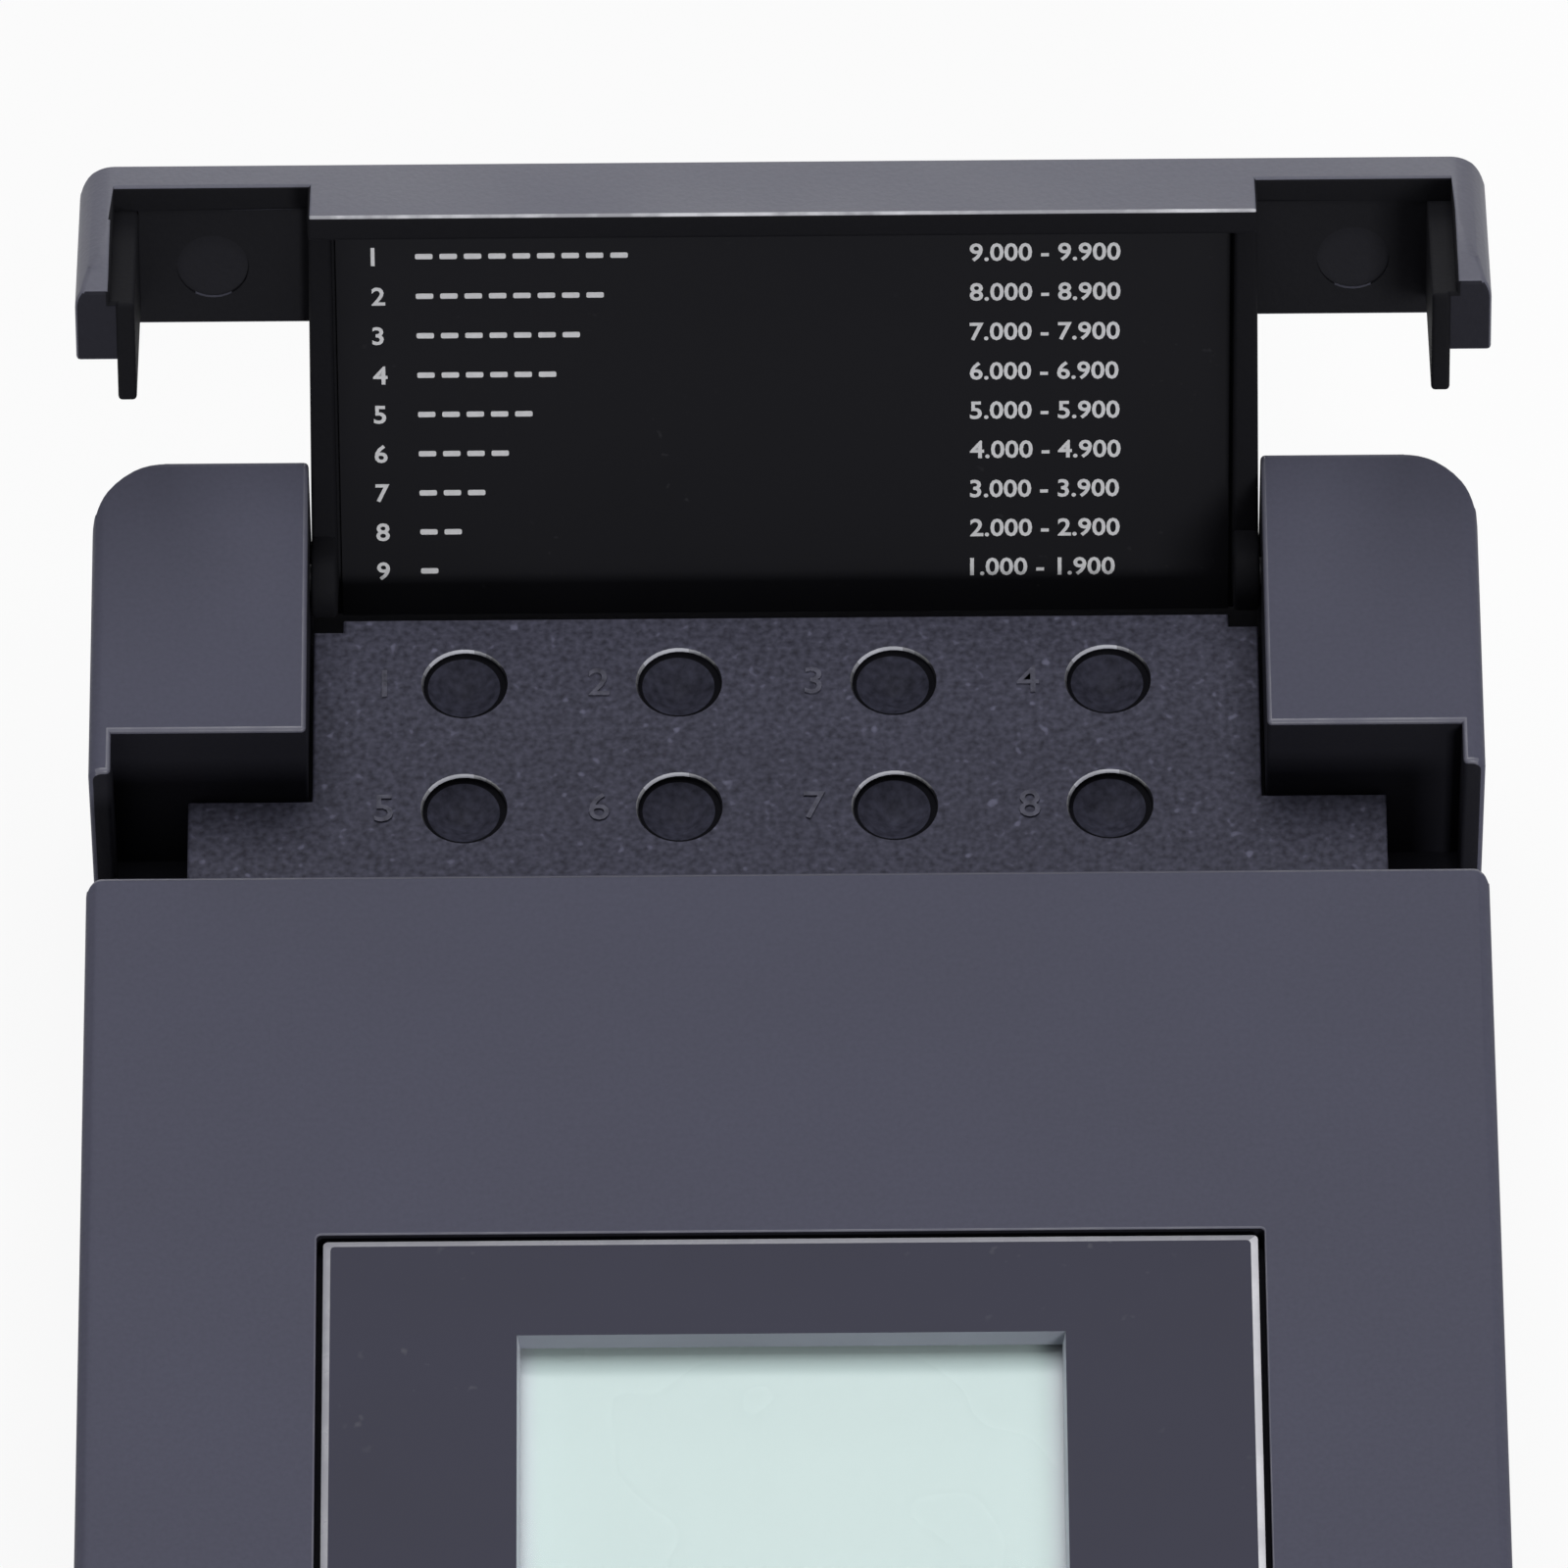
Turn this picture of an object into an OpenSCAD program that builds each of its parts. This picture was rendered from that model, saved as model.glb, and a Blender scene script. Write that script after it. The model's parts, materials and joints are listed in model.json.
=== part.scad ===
// Handheld meter for gemstones: a flat two-shell case with a flip-up lid over a stone tray,
// a liquid crystal display, three keys and a round test stage with its optics below it.
// The origin is at the middle of the underside, +Y points to the lid's hinge, +Z is up.

/* [Case] */
// Width of the case
case_w = 75.2; // [74:0.2:84]
// Length of the case
case_l = 150; // [146:1:170]
// Height of the case
case_h = 27; // [26.5:0.1:29]
// Height of the joint between the two shells
parting_z = 14; // [13.5:0.1:14.3]
// Wall thickness of both shells
wall = 2; // [1.6:0.1:2.2]
// Thickness of the underside
floor_t = 2.4; // [2.4:0.1:2.8]
// Corner radius at the front end, seen from above
front_corner_r = 6; // [4:0.5:7]
// Corner radius at the hinge end, seen from above
rear_corner_r = 4.8; // [4:0.2:6]
// Rounding along the upper edges
edge_r = 0.8; // [0.6:0.1:1]
// Rounding along the lower edges
base_edge_r = 1.5; // [0.8:0.1:1.8]

/* [Lid bay] */
// Length of the bay from the deck's rear edge to the hinge end
bay_l = 28.4; // [27:0.2:31]
// Length of the open bar between the deck and the ears
bar_l = 9.8; // [9.4:0.1:10.4]
// Clear width between the ears
ear_gap_w = 51.8; // [48:0.2:52]
// Length by which an ear's outer wall runs on in front of the ear
ear_ext_l = 2.7; // [2.4:0.1:3]
// Thickness of that outer wall
ear_ext_t = 1.2; // [1.1:0.05:1.3]
// Thickness of the walls and floors around the bay
tub_t = 1.2; // [1:0.1:1.3]
// Rounding of the deck's rear corners
deck_corner_r = 0.9; // [0.6:0.1:1.8]

/* [Stone tray] */
// Depth of the tray's surface below the deck
tray_depth = 6.2; // [5.8:0.1:6.4]
// Thickness of the tray
tray_t = 2.2; // [2:0.1:2.4]
// Width of the tray's front part
tray_w = 64.8; // [62:0.2:66]
// Gap around the tray
tray_gap = 0.2; // [0.1:0.05:0.3]
// Width of a stone well
well_d = 4.7; // [4:0.1:5.2]
// Depth of a stone well
well_depth = 1.5; // [1:0.1:1.7]
// Distance between wells across the tray
well_pitch_x = 11.65; // [10:0.05:13]
// Distance between the two rows of wells
well_pitch_y = 8.46; // [7.5:0.02:9]
// Distance from the deck's rear edge to the front row of wells
well_row_y = 9.05; // [8.4:0.05:9.6]

/* [Lid] */
// Angle from closed at which the open lid rests on its stop
lid_open = 110; // [95:1:112]
// Thickness of the lid
lid_t = 2.2; // [2:0.1:2.3]
// Distance by which the closed lid's top stands above the deck
lid_rise = 0.6; // [0.4:0.1:0.7]
// Gap between the deck and the lid's front end
lid_front_gap = 0.3; // [0.2:0.05:0.5]
// Gap between the lid and each ear
lid_side_gap = 0.3; // [0.25:0.05:0.5]
// Gap between the wings and the ears' front faces
wing_gap = 0.75; // [0.75:0.05:1.2]
// Gap between the lid and the case's hinge end
lid_back_gap = 0.5; // [0.4:0.1:1]
// Distance by which the lid stands out over each side of the case
lid_proud = 0.4; // [0.2:0.1:0.6]
// Rounding of the lid's front corners
lid_corner_r = 1.9; // [0.8:0.1:2]
// Thickness of the lid's front lip
lip_t = 1.5; // [1.2:0.1:1.8]
// Depth of the front lip between the wings
lip_depth = 5.6; // [5.2:0.1:5.8]
// Depth of the front lip under the wings
wing_lip_depth = 2.3; // [2.3:0.1:3]
// Thickness of a side skirt
skirt_t = 1.9; // [1.6:0.1:2]
// Gap below a side skirt
skirt_gap = 0.7; // [0.4:0.1:1.5]
// Distance by which a skirt's rear edge slopes forwards
skirt_slope = 0.9; // [0.8:0.1:2]
// Thickness of the tongue inside a skirt
tongue_t = 1; // [0.9:0.1:1.2]
// Step from a skirt's inside to its tongue
tongue_step = 0.3; // [0.2:0.05:0.5]
// Length of a tongue from the lid's front end
tongue_l = 7.6; // [6.8:0.1:7.8]
// Gap below a tongue
tongue_gap = 0.5; // [0.4:0.1:1]
// Thickness of the stem's side flanges
flange_t = 1.2; // [1:0.1:1.4]
// Depth of the stem's side flanges
flange_depth = 4; // [3.6:0.1:4.4]
// Width of the shallow round marks inside the wings
mark_d = 3.9; // [3:0.1:5]
// Depth of those marks
mark_depth = 0.2; // [0.1:0.05:0.3]
// Thickness of the chart on the lid's inside
chart_t = 0.3; // [0.2:0.05:0.4]
// Gap around the chart
chart_gap = 0.2; // [0.1:0.05:0.3]

/* [Hinge] */
// Distance of the hinge axis from the case's hinge end
hinge_back = 4.8; // [4.7:0.1:5]
// Depth of the hinge axis below the deck
hinge_depth = 5; // [4.9:0.1:5.2]
// Diameter of a hinge pin
pin_d = 2; // [1.6:0.1:2.2]
// Length of a hinge pin
pin_l = 5.8; // [5:0.1:7]
// Running clearance of the lid on its pins, on the radius
pin_run = 0.05; // [0.03:0.01:0.1]
// Clearance of a pin in its ear, on the radius
pin_seat = 0.02; // [0.01:0.01:0.05]
// Outer diameter of a hinge lug
lug_d = 3.8; // [3.6:0.1:4.4]
// Distance from the hinge axis to the tray's rear end
pocket_front = 1.5; // [1.3:0.1:1.8]

/* [Display] */
// Width of the display panel
panel_w = 49.4; // [48:0.1:52]
// Length of the display panel
panel_l = 34.7; // [33:0.1:36]
// Gap around the display panel
panel_gap = 0.35; // [0.2:0.05:0.5]
// Rounding of the panel's and the window's corners
panel_r = 0.25; // [0.2:0.05:0.5]
// Distance from the deck's rear edge to the panel
panel_setback = 24; // [23:0.1:25]
// Depth of the panel's face below the deck
panel_sink = 0.1; // [0:0.05:0.3]
// Thickness of the bezel
bezel_t = 1.2; // [1:0.05:1.3]
// Thickness of the clear pane under the bezel
pane_t = 0.5; // [0.4:0.05:0.6]
// Width of the window in the bezel
window_w = 28.9; // [27:0.1:31]
// Length of the window in the bezel
window_l = 22; // [20:0.1:23]
// Width of the bezel above the window
window_setback = 6.2; // [5.5:0.1:7]
// Width of the liquid crystal glass
lcd_w = 40; // [38:0.5:42]
// Length of the liquid crystal glass
lcd_l = 27; // [26:0.5:28]
// Thickness of the liquid crystal glass
lcd_t = 2.2; // [1.8:0.1:2.6]
// Gap around the glass and between it and the pane
lcd_gap = 0.2; // [0.1:0.05:0.3]
// Wall thickness of the glass holder
holder_t = 2.2; // [1.6:0.1:2.4]
// Thickness of the rim that thickens the deck around its openings
rim_t = 1.6; // [1.2:0.1:2]
// Thickness of an elastomer strip
strip_t = 2.5; // [2:0.1:3]
// Length of an elastomer strip
strip_l = 36; // [32:0.5:37]

/* [Keys] */
// Width of a key
key_w = 11; // [9:0.5:12]
// Length of a key
key_l = 6.5; // [5:0.5:7.5]
// Corner radius of a key
key_r = 2.4; // [1:0.1:2.4]
// Height of a key above the deck
key_proud = 0.9; // [0.7:0.1:1.4]
// Travel of a key
key_travel = 0.5; // [0.3:0.05:0.55]
// Gap around a key
key_gap = 0.3; // [0.25:0.05:0.4]
// Width of the flange that keeps a key in the deck
key_flange = 1.1; // [0.9:0.1:1.4]
// Thickness of that flange
key_flange_t = 1; // [0.8:0.1:1.2]
// Distance between neighbouring keys
key_pitch = 17; // [16:0.5:19]
// Distance from the display panel to the middle of the keys
key_setback = 10.9; // [10:0.1:12]
// Width of a tact switch
switch_w = 6; // [5:0.5:6.5]
// Height of a tact switch's body
switch_h = 3.4; // [3:0.1:3.6]
// Height of a tact switch's plunger
plunger_h = 0.7; // [0.5:0.1:1]
// Diameter of a plunger and of a key's stem
plunger_d = 3.4; // [3:0.1:3.6]

/* [Test stage] */
// Distance from the keys to the middle of the test stage
stage_setback = 27; // [26:0.5:28]
// Diameter of the aperture plate
stage_d = 24; // [22:0.5:26]
// Gap around the aperture plate
stage_gap = 0.15; // [0.1:0.05:0.3]
// Thickness of the aperture plate
stage_t = 1.6; // [1.4:0.1:1.8]
// Width of the plate's seat in the deck
stage_seat = 1.8; // [1.2:0.1:2.4]
// Depth of the shallow dish in the plate
dish_depth = 0.4; // [0.2:0.05:0.6]
// Width of the flat rim around the dish
dish_rim = 2.4; // [1.5:0.1:3]
// Diameter of the aperture
aperture_d = 2.2; // [1.6:0.1:3]
// Diameter of the aperture's hub below the plate
hub_d = 9; // [8:0.1:10]
// Height of that hub
hub_h = 1.2; // [1:0.1:1.5]
// Diameter of the aperture glass
glass_d = 5; // [4:0.1:6]
// Thickness of the aperture glass
glass_t = 0.8; // [0.6:0.1:1]
// Gap around the aperture glass
glass_gap = 0.05; // [0.03:0.01:0.1]
// Width of the optics block
optics_w = 22; // [21:0.5:23]
// Length of the optics block
optics_l = 13; // [11:0.5:15]
// Gap between the optics block and the circuit board
optics_gap = 0.8; // [0.6:0.1:1]
// Angle of the light paths from upright
optics_angle = 40; // [36:1:42]
// Diameter of the emitter and the photodiode
diode_d = 3; // [2.6:0.1:3.2]
// Length of the emitter and the photodiode
diode_l = 4; // [3.5:0.1:4.2]
// Distance of the diodes' tips from the glass
diode_reach = 4.6; // [4.4:0.1:5]
// Clearance of a diode in its bore, on the radius
diode_fit = 0.05; // [0.03:0.01:0.1]
// Diameter of the narrow light paths
path_d = 1.4; // [1:0.1:1.6]
// Thickness of the optics block's flanges
optics_flange_t = 2; // [1.6:0.1:2.4]
// Distance of the optics screws from the middle
optics_screw_x = 15; // [14.5:0.1:15.5]

/* [Power] */
// Diameter of a cell
cell_d = 10.5; // [10:0.1:10.6]
// Length of a cell with its contact nub
cell_l = 44.5; // [43:0.1:45]
// Length of the contact nub
nub_l = 0.8; // [0.6:0.1:1]
// Diameter of the contact nub
nub_d = 3.8; // [3:0.1:4]
// Gap around and between the cells
cell_gap = 0.3; // [0.2:0.05:0.4]
// Room for a contact at each end of a cell
contact_room = 3.85; // [3.4:0.05:4.2]
// Thickness of a contact
contact_t = 0.5; // [0.3:0.05:0.6]
// Width of a contact
contact_w = 8; // [6:0.5:9]
// Thickness of the battery box's walls
box_t = 1.5; // [1.2:0.1:1.8]
// Length of the battery door behind the battery box's front
door_l = 37; // [36:0.5:38]
// Gap around the battery door
door_gap = 0.3; // [0.25:0.05:0.35]
// Height of the ledges that carry the battery door
door_ledge_h = 1.2; // [1:0.1:1.3]
// Width of those ledges
door_ledge_w = 1.5; // [1.2:0.1:1.8]
// Thickness of the ribs above the door's long edges
door_rib_t = 1; // [0.8:0.1:1.2]
// Depth of the door's face above the underside
door_sink = 0.2; // [0.1:0.05:0.3]
// Number of grip grooves in the battery door
grip_count = 5; // [3:1:7]
// Distance between the grip grooves
grip_pitch = 2.2; // [2:0.1:2.6]
// Length of a grip groove
grip_l = 18; // [12:1:24]
// Width of a grip groove
grip_w = 1; // [0.6:0.1:1.2]
// Depth of a grip groove
grip_depth = 0.4; // [0.2:0.1:0.5]

/* [Circuit board] */
// Width of the circuit board
pcb_w = 55; // [54:0.5:55]
// Height of the circuit board above the underside
pcb_z = 15; // [14.8:0.1:15.2]
// Thickness of the circuit board
pcb_t = 1.6; // [1.2:0.1:1.8]
// Gap between the circuit board and the case's ends
pcb_end_gap = 2; // [1:0.5:4]
// Width of the processor chip
chip_w = 12; // [9:0.5:14]
// Height of the processor chip
chip_h = 1.6; // [1:0.1:2]
// Diameter of the beeper
beeper_d = 9; // [7:0.5:10]
// Height of the beeper
beeper_h = 3; // [2:0.1:4]

/* [Fixings] */
// Shank diameter of a case screw
case_screw_d = 2.5; // [2:0.1:2.6]
// Head diameter of a case screw
case_head_d = 4.6; // [4:0.1:4.8]
// Head height of a case screw
case_head_h = 1.8; // [1.4:0.1:2]
// Length of a case screw below its head
case_screw_l = 12; // [10:0.5:13]
// Height of a case screw's seat above the underside
case_seat_z = 9; // [7:0.5:10]
// Diameter of the bosses for the case screws
boss_d = 6.4; // [6:0.1:6.6]
// Distance of the bosses from the case's sides
boss_side = 6.5; // [6.4:0.1:6.8]
// Distance of the bosses from the case's ends
boss_end = 9.5; // [9:0.1:10]
// Shank diameter of a small screw
small_screw_d = 1.9; // [1.6:0.1:2]
// Head diameter of a small screw
small_head_d = 3.8; // [3.4:0.1:4]
// Head height of a small screw
small_head_h = 1.2; // [1:0.1:1.4]
// Length of a small screw below its head
small_screw_l = 6.5; // [6:0.1:7]
// Diameter of the posts for the small screws
post_d = 5.2; // [4.8:0.1:5.6]
// Clearance of a screw in its hole, on the radius
screw_fit = 0.05; // [0.03:0.01:0.1]
// Distance of the board's posts from the middle
post_x = 24; // [23.5:0.1:24.2]
// Distance of the rear posts from the deck's rear edge
post_setback = 8.6; // [8:0.1:10]
// Room between the battery door and the front posts
post_room = 1; // [0.8:0.1:1.4]

/* [Hidden] */
$fn = 96;
// Small overlap that lets a cut pass through a face
cut = 1;

// Colours
SLATE = [0.31, 0.31, 0.36];
LID_SLATE = [0.29, 0.29, 0.34];
TRAY_GREY = [0.24, 0.24, 0.28];
PANEL_GREY = [0.27, 0.27, 0.31];
CHART_BLACK = [0.11, 0.11, 0.13];
LCD_GREEN = [0.81, 0.89, 0.87];
CLEAR = [0.85, 0.9, 0.92, 0.4];
BOARD_GREEN = [0.1, 0.35, 0.2];
BLACK = [0.07, 0.07, 0.08];
KEY_GREY = [0.45, 0.46, 0.5];
STEEL = [0.72, 0.73, 0.75];
BRASS = [0.78, 0.66, 0.35];
CELL_BLUE = [0.2, 0.3, 0.5];
RUBBER = [0.55, 0.55, 0.58];

// Places along the case
front_y = -case_l / 2;
back_y = case_l / 2;
deck_y = back_y - bay_l;
ear_front_y = deck_y + bar_l;
ear_ext_y = ear_front_y - ear_ext_l;
hinge_y = back_y - hinge_back;
tray_end_y = hinge_y - pocket_front;
panel_top_y = deck_y - panel_setback;
panel_y = panel_top_y - panel_l / 2;
window_y = panel_top_y - window_setback - window_l / 2;
key_y = panel_top_y - panel_l - key_setback;
stage_y = key_y - stage_setback;

// Heights
deck_z = case_h - wall;
rim_z = deck_z - rim_t;
hinge_z = case_h - hinge_depth;
tray_top = case_h - tray_depth;
tray_seat = tray_top - tray_t;
pit_floor = parting_z + tub_t;
board_top = pcb_z + pcb_t;
pane_z = case_h - panel_sink - bezel_t - pane_t;
lcd_z = pane_z - lcd_gap - lcd_t;
stage_z = case_h - stage_t;
block_top = stage_z - hub_h;
block_z = board_top + optics_gap;
block_shoulder = rim_z - optics_gap / 2;
optics_seat_z = block_z + optics_flange_t;
cell_z = floor_t + cell_gap + cell_d / 2;
box_ceiling = cell_z + cell_d / 2 + cell_gap;
flange_z = deck_z - key_gap - key_flange_t;
switch_top = board_top + switch_h + plunger_h;

// Lid, as it lies when closed
lid_w = case_w + 2 * lid_proud;
lid_front_y = deck_y + lid_front_gap;
lid_back_y = back_y - lid_back_gap;
stem_w = ear_gap_w - 2 * lid_side_gap;
lid_top_z = case_h + lid_rise;
lid_in_z = lid_top_z - lid_t;
wing_end_y = ear_front_y - wing_gap;
lid_swing_r = hinge_y - lid_front_y;
skirt_in_x = lid_w / 2 - skirt_t;
tongue_out_x = skirt_in_x - tongue_step;
chart_w = stem_w - 2 * flange_t - 2 * chart_gap;
pin_x = stem_w / 2 - flange_t + chart_gap / 2;

// Battery box and door
box_half_w = cell_l / 2 + contact_room;
box_front_y = front_y + wall;
cell_pitch = cell_d + cell_gap;
cell_count = 3;
cell_y0 = box_front_y + cell_gap + cell_d / 2;
box_back_y = cell_y0 + (cell_count - 1) * cell_pitch + cell_d / 2 + cell_gap;
door_hole_w = 2 * (box_half_w - door_ledge_w);
door_end_y = box_front_y + door_l;
door_rib_z = floor_t + door_gap;

// Circuit board and its posts
pcb_front_y = box_front_y + pcb_end_gap;
pcb_rear_y = deck_y - tub_t - pcb_end_gap;
front_post_y = door_end_y + post_d / 2 + door_gap + post_room;
POSTS = [for (x = [-post_x, post_x], y = [front_post_y, deck_y - post_setback]) [x, y]];
boss_x = max(case_w / 2 - boss_side, box_half_w + cell_gap + boss_d / 2);
BOSSES = [for (x = [-boss_x, boss_x], y = [front_y + boss_end, back_y - boss_end]) [x, y]];
KEY_X = [-key_pitch, 0, key_pitch];
OPTICS_X = [-optics_screw_x, optics_screw_x];
case_hole_d = case_screw_d + 2 * screw_fit;
small_hole_d = small_screw_d + 2 * screw_fit;

// Holder of the liquid crystal glass
holder_w = lcd_w + 2 * holder_t;
holder_l = lcd_l + 2 * holder_t;
strip_y = lcd_l / 2 - strip_t;

// Outline with its lower edge on the x axis and its own corner radius at each end
module outline(w, h, low_r, high_r) {
    translate([-w / 2, low_r]) square([w, h - low_r - high_r]);
    translate([low_r - w / 2, 0]) square([w - 2 * low_r, h / 2]);
    translate([high_r - w / 2, h / 2]) square([w - 2 * high_r, h / 2]);
    for (side = [-1, 1]) {
        translate([side * (w / 2 - low_r), low_r]) circle(r = low_r);
        translate([side * (w / 2 - high_r), h - high_r]) circle(r = high_r);
    }
}

// Block from its lowest to its highest corner
module block(low, high) {
    translate(low) cube(high - low);
}

// Block centred across the case
module mid_block(w, low_y, high_y, low_z, high_z) {
    block([-w / 2, low_y, low_z], [w / 2, high_y, high_z]);
}

// The same shape on both sides of the case
module both_sides() {
    children();
    mirror([1, 0, 0]) children();
}

// Upright rounded plate between two heights, centred on a point of the case's middle line
module rounded_plate(w, l, r, y, low_z, high_z) {
    translate([0, y - l / 2, low_z]) linear_extrude(high_z - low_z) outline(w, l, r, r);
}

// Upright round bar between two heights
module bar(d, low_z, high_z) {
    translate([0, 0, low_z]) cylinder(d = d, h = high_z - low_z);
}

// Profile in the y and z directions, drawn across the case between two x values
module side_profile(low_x, high_x) {
    translate([low_x, 0, 0]) rotate([90, 0, 90]) linear_extrude(high_x - low_x) children();
}

// Outer form of the closed case at a given width and height, with its rounded corners and edges
module envelope(w, h) {
    intersection() {
        translate([0, front_y, 0]) linear_extrude(h) outline(w, case_l, front_corner_r, rear_corner_r);
        rotate([90, 0, 0]) linear_extrude(case_l, center = true) outline(w, h, base_edge_r, edge_r);
        side_profile(-w / 2, w / 2) outline(case_l, h, base_edge_r, edge_r);
    }
}

// Room inside the shells between two heights
module inner_room(low_z, high_z) {
    translate([0, front_y + wall, low_z]) linear_extrude(high_z - low_z)
        outline(case_w - 2 * wall, case_l - 2 * wall, front_corner_r - wall, rear_corner_r - wall);
}

// Room of the lid bay, grown by the thickness of the walls around it
module bay_room(grow) {
    high = case_h + cut;
    side = case_w / 2 + cut;
    ext_w = case_w - 2 * ear_ext_t;
    mid_block(ear_gap_w + 2 * grow, deck_y - grow, tray_end_y + grow, tray_seat - grow, high);
    mid_block(ear_gap_w + 2 * grow, tray_end_y - grow, back_y + cut, pit_floor - grow, high);
    mid_block(ext_w, deck_y - grow, ear_front_y + grow, tray_seat - grow, high);
    mid_block(2 * side, deck_y - grow, ear_ext_y, tray_seat - grow, high);
    both_sides()
        block([tray_w / 2 - grow, deck_y - grow, pit_floor - grow], [ext_w / 2, ear_front_y + grow, high]);
}

// Notches in the case's sides for the lid's skirts
module skirt_notches() {
    both_sides()
        block([case_w / 2 - wall, deck_y, pit_floor], [case_w / 2 + cut, ear_ext_y, case_h + cut]);
}

// Corner cutter that rounds an upright edge at the side of a given width, towards the given direction
module corner_cutter(w, r, y, direction) {
    size = r + cut;
    both_sides() translate([w / 2 - r, y - direction * r, pit_floor]) difference() {
        translate([0, direction < 0 ? -size : 0, 0]) cube([size, size, case_h]);
        translate([0, 0, -cut]) cylinder(r = r, h = case_h + 2 * cut);
    }
}

// Pin-shaped round bar along the hinge axis, from one x value to another on each side
module hinge_bar(d, low_x, high_x) {
    both_sides() translate([low_x, hinge_y, hinge_z]) rotate([0, 90, 0]) cylinder(d = d, h = high_x - low_x);
}

// Closed lid turned to where it rests when open
module opened() {
    translate([0, hinge_y, hinge_z]) rotate([-lid_open, 0, 0]) translate([0, -hinge_y, -hinge_z]) children();
}

// Key opening or key body at one of the three places
module key_prism(x, grow, low_z, high_z) {
    translate([x, 0, 0])
        rounded_plate(key_w + 2 * grow, key_l + 2 * grow, key_r + grow, key_y, low_z, high_z);
}

// Upper half of the case, with the deck, the two ears and the tub of the lid bay
module top_shell() {
    high = case_h + cut;
    color(SLATE) difference() {
        union() {
            difference() {
                envelope(case_w, case_h);
                inner_room(parting_z - cut, deck_z);
            }
            intersection() {
                envelope(case_w, case_h);
                union() {
                    bay_room(tub_t);
                    rounded_plate(panel_w + 4 * wall, panel_l + 4 * wall, wall, panel_y, rim_z, deck_z + cut);
                    translate([0, stage_y, 0]) bar(stage_d + 2 * wall, rim_z, deck_z + cut);
                }
            }
            for (p = BOSSES) translate(p) bar(boss_d, parting_z, deck_z + wall / 2);
            hinge_bar(lug_d, ear_gap_w / 2, pin_x + pin_l + wall / 2);
            for (x = OPTICS_X) translate([x, stage_y, 0])
                bar(post_d, optics_seat_z + optics_flange_t, deck_z + wall / 2);
        }
        translate([0, 0, -cut]) mid_block(2 * case_w, 2 * front_y, 2 * back_y, -cut, parting_z + cut);
        bay_room(0);
        skirt_notches();
        corner_cutter(case_w, deck_corner_r, deck_y, 1);
        hinge_bar(pin_d + 2 * pin_seat, ear_gap_w / 2 - cut, pin_x + pin_l + pin_seat);
        rounded_plate(panel_w + 2 * panel_gap, panel_l + 2 * panel_gap, panel_r, panel_y, pane_z, high);
        rounded_plate(holder_w + 4 * lcd_gap, holder_l + 4 * lcd_gap, wall / 2, window_y, rim_z - cut, high);
        for (x = KEY_X) key_prism(x, key_gap, deck_z - cut, high);
        translate([0, stage_y, 0]) {
            bar(stage_d + 2 * stage_gap, stage_z, high);
            bar(stage_d - 2 * stage_seat, rim_z - cut, high);
        }
        for (p = BOSSES) translate(p) bar(case_hole_d, parting_z - cut, case_seat_z + case_screw_l + cut);
        for (x = OPTICS_X) translate([x, stage_y, 0])
            bar(small_hole_d, block_z, optics_seat_z + small_screw_l + screw_fit);
    }
}

// Lower half of the case, with the battery box and the posts of the circuit board
module bottom_shell() {
    color(SLATE) difference() {
        union() {
            difference() {
                intersection() {
                    envelope(case_w, case_h);
                    mid_block(case_w, front_y, back_y, 0, parting_z);
                }
                inner_room(floor_t, parting_z + cut);
            }
            for (p = BOSSES) translate(p) bar(boss_d, floor_t / 2, parting_z);
            for (p = POSTS) translate(p) bar(post_d, floor_t / 2, pcb_z);
            battery_box();
        }
        for (p = BOSSES) translate(p) {
            bar(case_head_d + 4 * screw_fit, -cut, case_seat_z);
            bar(case_hole_d, -cut, parting_z + cut);
        }
        for (p = POSTS) translate(p) bar(small_hole_d, board_top - small_screw_l - screw_fit, pcb_z + cut);
        mid_block(door_hole_w, front_y - cut, door_end_y + door_gap, -cut, door_rib_z);
        mid_block(2 * box_half_w, front_y - cut, door_end_y + door_gap, door_ledge_h, door_rib_z);
    }
}

// Walls, ceiling and door ribs of the battery box
module battery_box() {
    low_y = front_y + wall / 2;
    high_y = box_back_y + box_t;
    box_w = 2 * box_half_w + box_t;
    difference() {
        union() {
            both_sides() {
                block([box_half_w, low_y, floor_t / 2], [box_half_w + box_t, high_y, pcb_z]);
                block([box_half_w - door_ledge_w / 2, low_y, door_rib_z],
                    [box_half_w + box_t / 2, high_y, door_rib_z + door_rib_t]);
            }
            mid_block(box_w, box_back_y, high_y, door_rib_z, pcb_z);
            mid_block(box_w, low_y, high_y, box_ceiling, pcb_z);
        }
        mid_block(case_w, front_y, box_front_y, parting_z, case_h);
    }
}

// Sliding battery door that leaves the underside at the front end
module battery_door() {
    narrow_w = door_hole_w - 2 * door_gap;
    wide_w = 2 * box_half_w - 2 * door_gap;
    color(SLATE) difference() {
        intersection() {
            envelope(case_w, case_h);
            union() {
                mid_block(narrow_w, front_y, door_end_y, door_sink, floor_t);
                mid_block(wide_w, front_y, door_end_y, door_ledge_h + door_gap, floor_t);
            }
        }
        for (i = [0:grip_count - 1]) mid_block(grip_l, door_end_y - (i + 2) * grip_pitch - grip_w,
            door_end_y - (i + 2) * grip_pitch, door_sink - cut, door_sink + grip_depth);
    }
}

// Side view of a skirt, trimmed so that it swings clear of the deck
module skirt_profile(near_y, rear_top_y, rear_low_y, low_z) {
    intersection() {
        polygon([[near_y, low_z], [rear_low_y, low_z], [rear_top_y, lid_in_z],
            [rear_top_y, lid_top_z], [near_y, lid_top_z]]);
        union() {
            translate([hinge_y, hinge_z]) circle(r = lid_swing_r);
            translate([lid_front_y, hinge_z]) square([lid_swing_r, lid_top_z - hinge_z]);
        }
    }
}

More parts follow.
